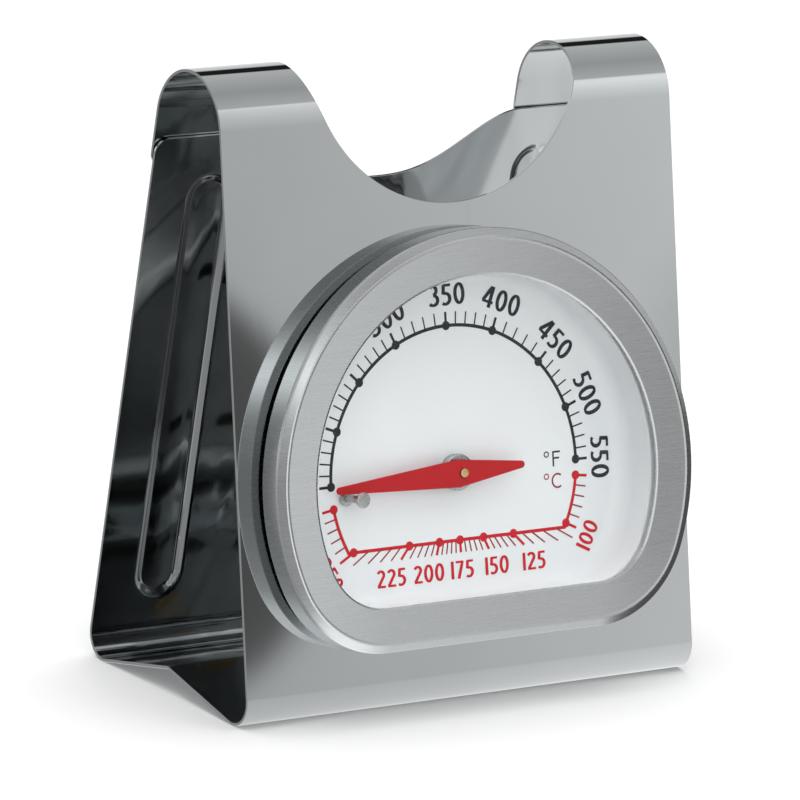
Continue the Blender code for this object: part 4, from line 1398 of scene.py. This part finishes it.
def printed(name, quads, ink):
    """One colour's marks as a thin raised layer that lies on the tray."""
    points = []
    polygons = []
    for quad in quads:
        polygons.append(list(range(len(points), len(points) + len(quad))))
        points += quad
    flat, _, faces, _, _, sources = delaunay_2d_cdt(points, [], polygons, 0, 0.0005)
    kept = [face for face, source in zip(faces, sources) if source]
    shape = bmesh.new()
    vertices = {}
    for i in sorted({i for face in kept for i in face}):
        x, y = flat[i]
        vertices[i] = shape.verts.new((x, y, tray_height(x, y) + INK))
    for face in kept:
        shape.faces.new([vertices[i] for i in face])
    piece = add_piece(name, mesh_of(shape, turn_out=False), ink)
    layer = piece.modifiers.new("ink_layer", "SOLIDIFY")
    layer.thickness = 0.7 * INK * MM
    layer.offset = -1.0


def build_printing():
    black = dial_ink("ink_black", (0.020, 0.026, 0.030))
    red = dial_ink("ink_red", (0.56, 0.012, 0.022))
    dark_red = dial_ink("ink_dark_red", (0.30, 0.035, 0.045))
    printed("scale_fahrenheit", black_print(), black)
    marks, ticks = red_print()
    printed("scale_celsius", marks, red)
    printed("ticks_celsius", ticks, dark_red)
    printed("unit_fahrenheit", unit_letter("F", 19.9, 0.25), black)
    printed("unit_celsius", unit_letter("C", 19.75, -3.35), dark_red)


# Studio

def build_floor():
    """Pale seamless table."""
    shape = bmesh.new()
    bmesh.ops.create_grid(shape, x_segments=8, y_segments=8, size=6.0)
    floor = new_object("studio_floor", mesh_of(shape))
    paper = Shader("studio_paper", (0.92, 0.92, 0.92), 0.6)
    paper.set("Specular IOR Level", 0.2)
    floor.data.materials.append(paper.material)
    floor.visible_glossy = False


def build_lamp(name, location, target, size, power):
    data = bpy.data.lights.new(name, "AREA")
    data.shape = "RECTANGLE"
    data.size, data.size_y = size
    data.energy = power
    lamp = new_object(name, data)
    lamp.location = location
    lamp.rotation_euler = (Vector(target) - Vector(location)).to_track_quat("-Z", "Y").to_euler()
    lamp.visible_camera = False
    lamp.visible_glossy = False


class Surroundings(Tree):
    """The studio seen in each direction, built from node sums on the direction's components."""

    def __init__(self):
        world = bpy.data.worlds.new("studio")
        bpy.context.scene.world = world
        world.use_nodes = True
        super().__init__(world.node_tree)
        self.direction = self.add("TexCoord", {}, "Generated")
        self.x = self.add("SeparateXYZ", {"Vector": self.direction}, "X")
        parts = self.x.node.outputs
        self.climb = self.math("ARCTAN2", parts["Z"], self.math("MULTIPLY", parts["Y"], -1.0))

    def curve(self, value, stops):
        """Straight steps between (value, level) stops."""
        low, high = stops[0][0], stops[-1][0]
        share = self.spread(value, 0.0, 1.0, low, high)
        return self.ramp(share, [((at - low) / (high - low), (level,) * 3) for at, level in stops])

    def spot(self, aside_degrees, climb_degrees, radius_degrees, soft_degrees, level):
        """A round patch: level inside the radius and 1 outside it."""
        aside, climb = math.radians(aside_degrees), math.radians(climb_degrees)
        centre = (math.sin(aside) * math.cos(climb), -math.cos(aside) * math.cos(climb), math.sin(climb))
        away = self.add("VectorMath", {0: self.direction, 1: centre}, "Value", operation="DISTANCE")
        low = math.radians(radius_degrees - soft_degrees)
        high = math.radians(radius_degrees + soft_degrees)
        return self.spread(away, level, 1.0, low, high, "SMOOTHSTEP")


def build_world():
    """Bands of light from the front horizon, over the top, to the back, with darker and brighter patches."""
    room = Surroundings()
    bands = room.curve(room.climb, [(math.radians(degrees), level) for degrees, level in WORLD_BANDS])
    across = room.curve(room.x, WORLD_ACROSS)
    top = [math.radians(degrees) for degrees in WORLD_ACROSS_FADES]
    low_down = room.spread(room.climb, 1.0, 0.0, *top, "SMOOTHSTEP")
    extra = room.math("MULTIPLY", room.math("SUBTRACT", across, 1.0), low_down)
    level = room.math("MULTIPLY", bands, room.math("ADD", extra, 1.0))
    for spot in WORLD_SPOTS:
        level = room.math("MULTIPLY", level, room.spot(*spot))
    seen = room.add("LightPath", {}, "Is Camera Ray")
    unseen = room.math("SUBTRACT", 1.0, seen)
    shown = room.math("ADD", room.math("MULTIPLY", level, unseen), seen)
    room.feed(room.tree.nodes["Background"].inputs["Color"], shown)


def build_camera():
    data = bpy.data.cameras.new("camera")
    data.lens = CAMERA_LENS
    data.clip_start = 0.05
    camera = new_object("camera", data)
    turn = Matrix.Rotation(-CAMERA_TURN, 4, "Z")
    tilt = Matrix.Rotation(math.pi / 2 - CAMERA_TILT, 4, "X")
    roll = Matrix.Rotation(CAMERA_ROLL, 4, "Z")
    back = Matrix.Translation((0.0, 0.0, CAMERA_DISTANCE))
    camera.matrix_world = Matrix.Translation(CAMERA_AIM) @ turn @ tilt @ roll @ back
    bpy.context.scene.camera = camera


def build_studio():
    build_floor()
    build_world()
    middle = (0.0, 0.0, 0.05)
    build_lamp("key_overhead", (0.1, 0.0, 1.5), middle, (2.0, 2.0), 24.0)
    build_lamp("fill_front", (-0.6, -1.3, 0.8), middle, (1.2, 0.9), 3.0)
    build_camera()
    bpy.context.scene.view_settings.view_transform = "Standard"


def build_gauge():
    mill = drawn_steel()
    bright = turned_steel()
    brass = turned_brass()
    enamel = white_enamel()
    build_bezel(brushed_steel())
    build_glass(clear_glass())
    build_lens_seal(heat_seal())
    build_dial_tray(enamel)
    build_case(mill)
    build_clamp_ring(mill)
    build_bushing(bright)
    build_stop_pin(bright)
    build_coil_anchor(bright)
    build_rear_bearing(brass)
    build_arbor(brass)
    build_collars(brass)
    build_coil(bimetal_strip())
    build_pointer(red_enamel())
    build_printing()


build_stand(polished_sheet())
build_gauge()
build_studio()
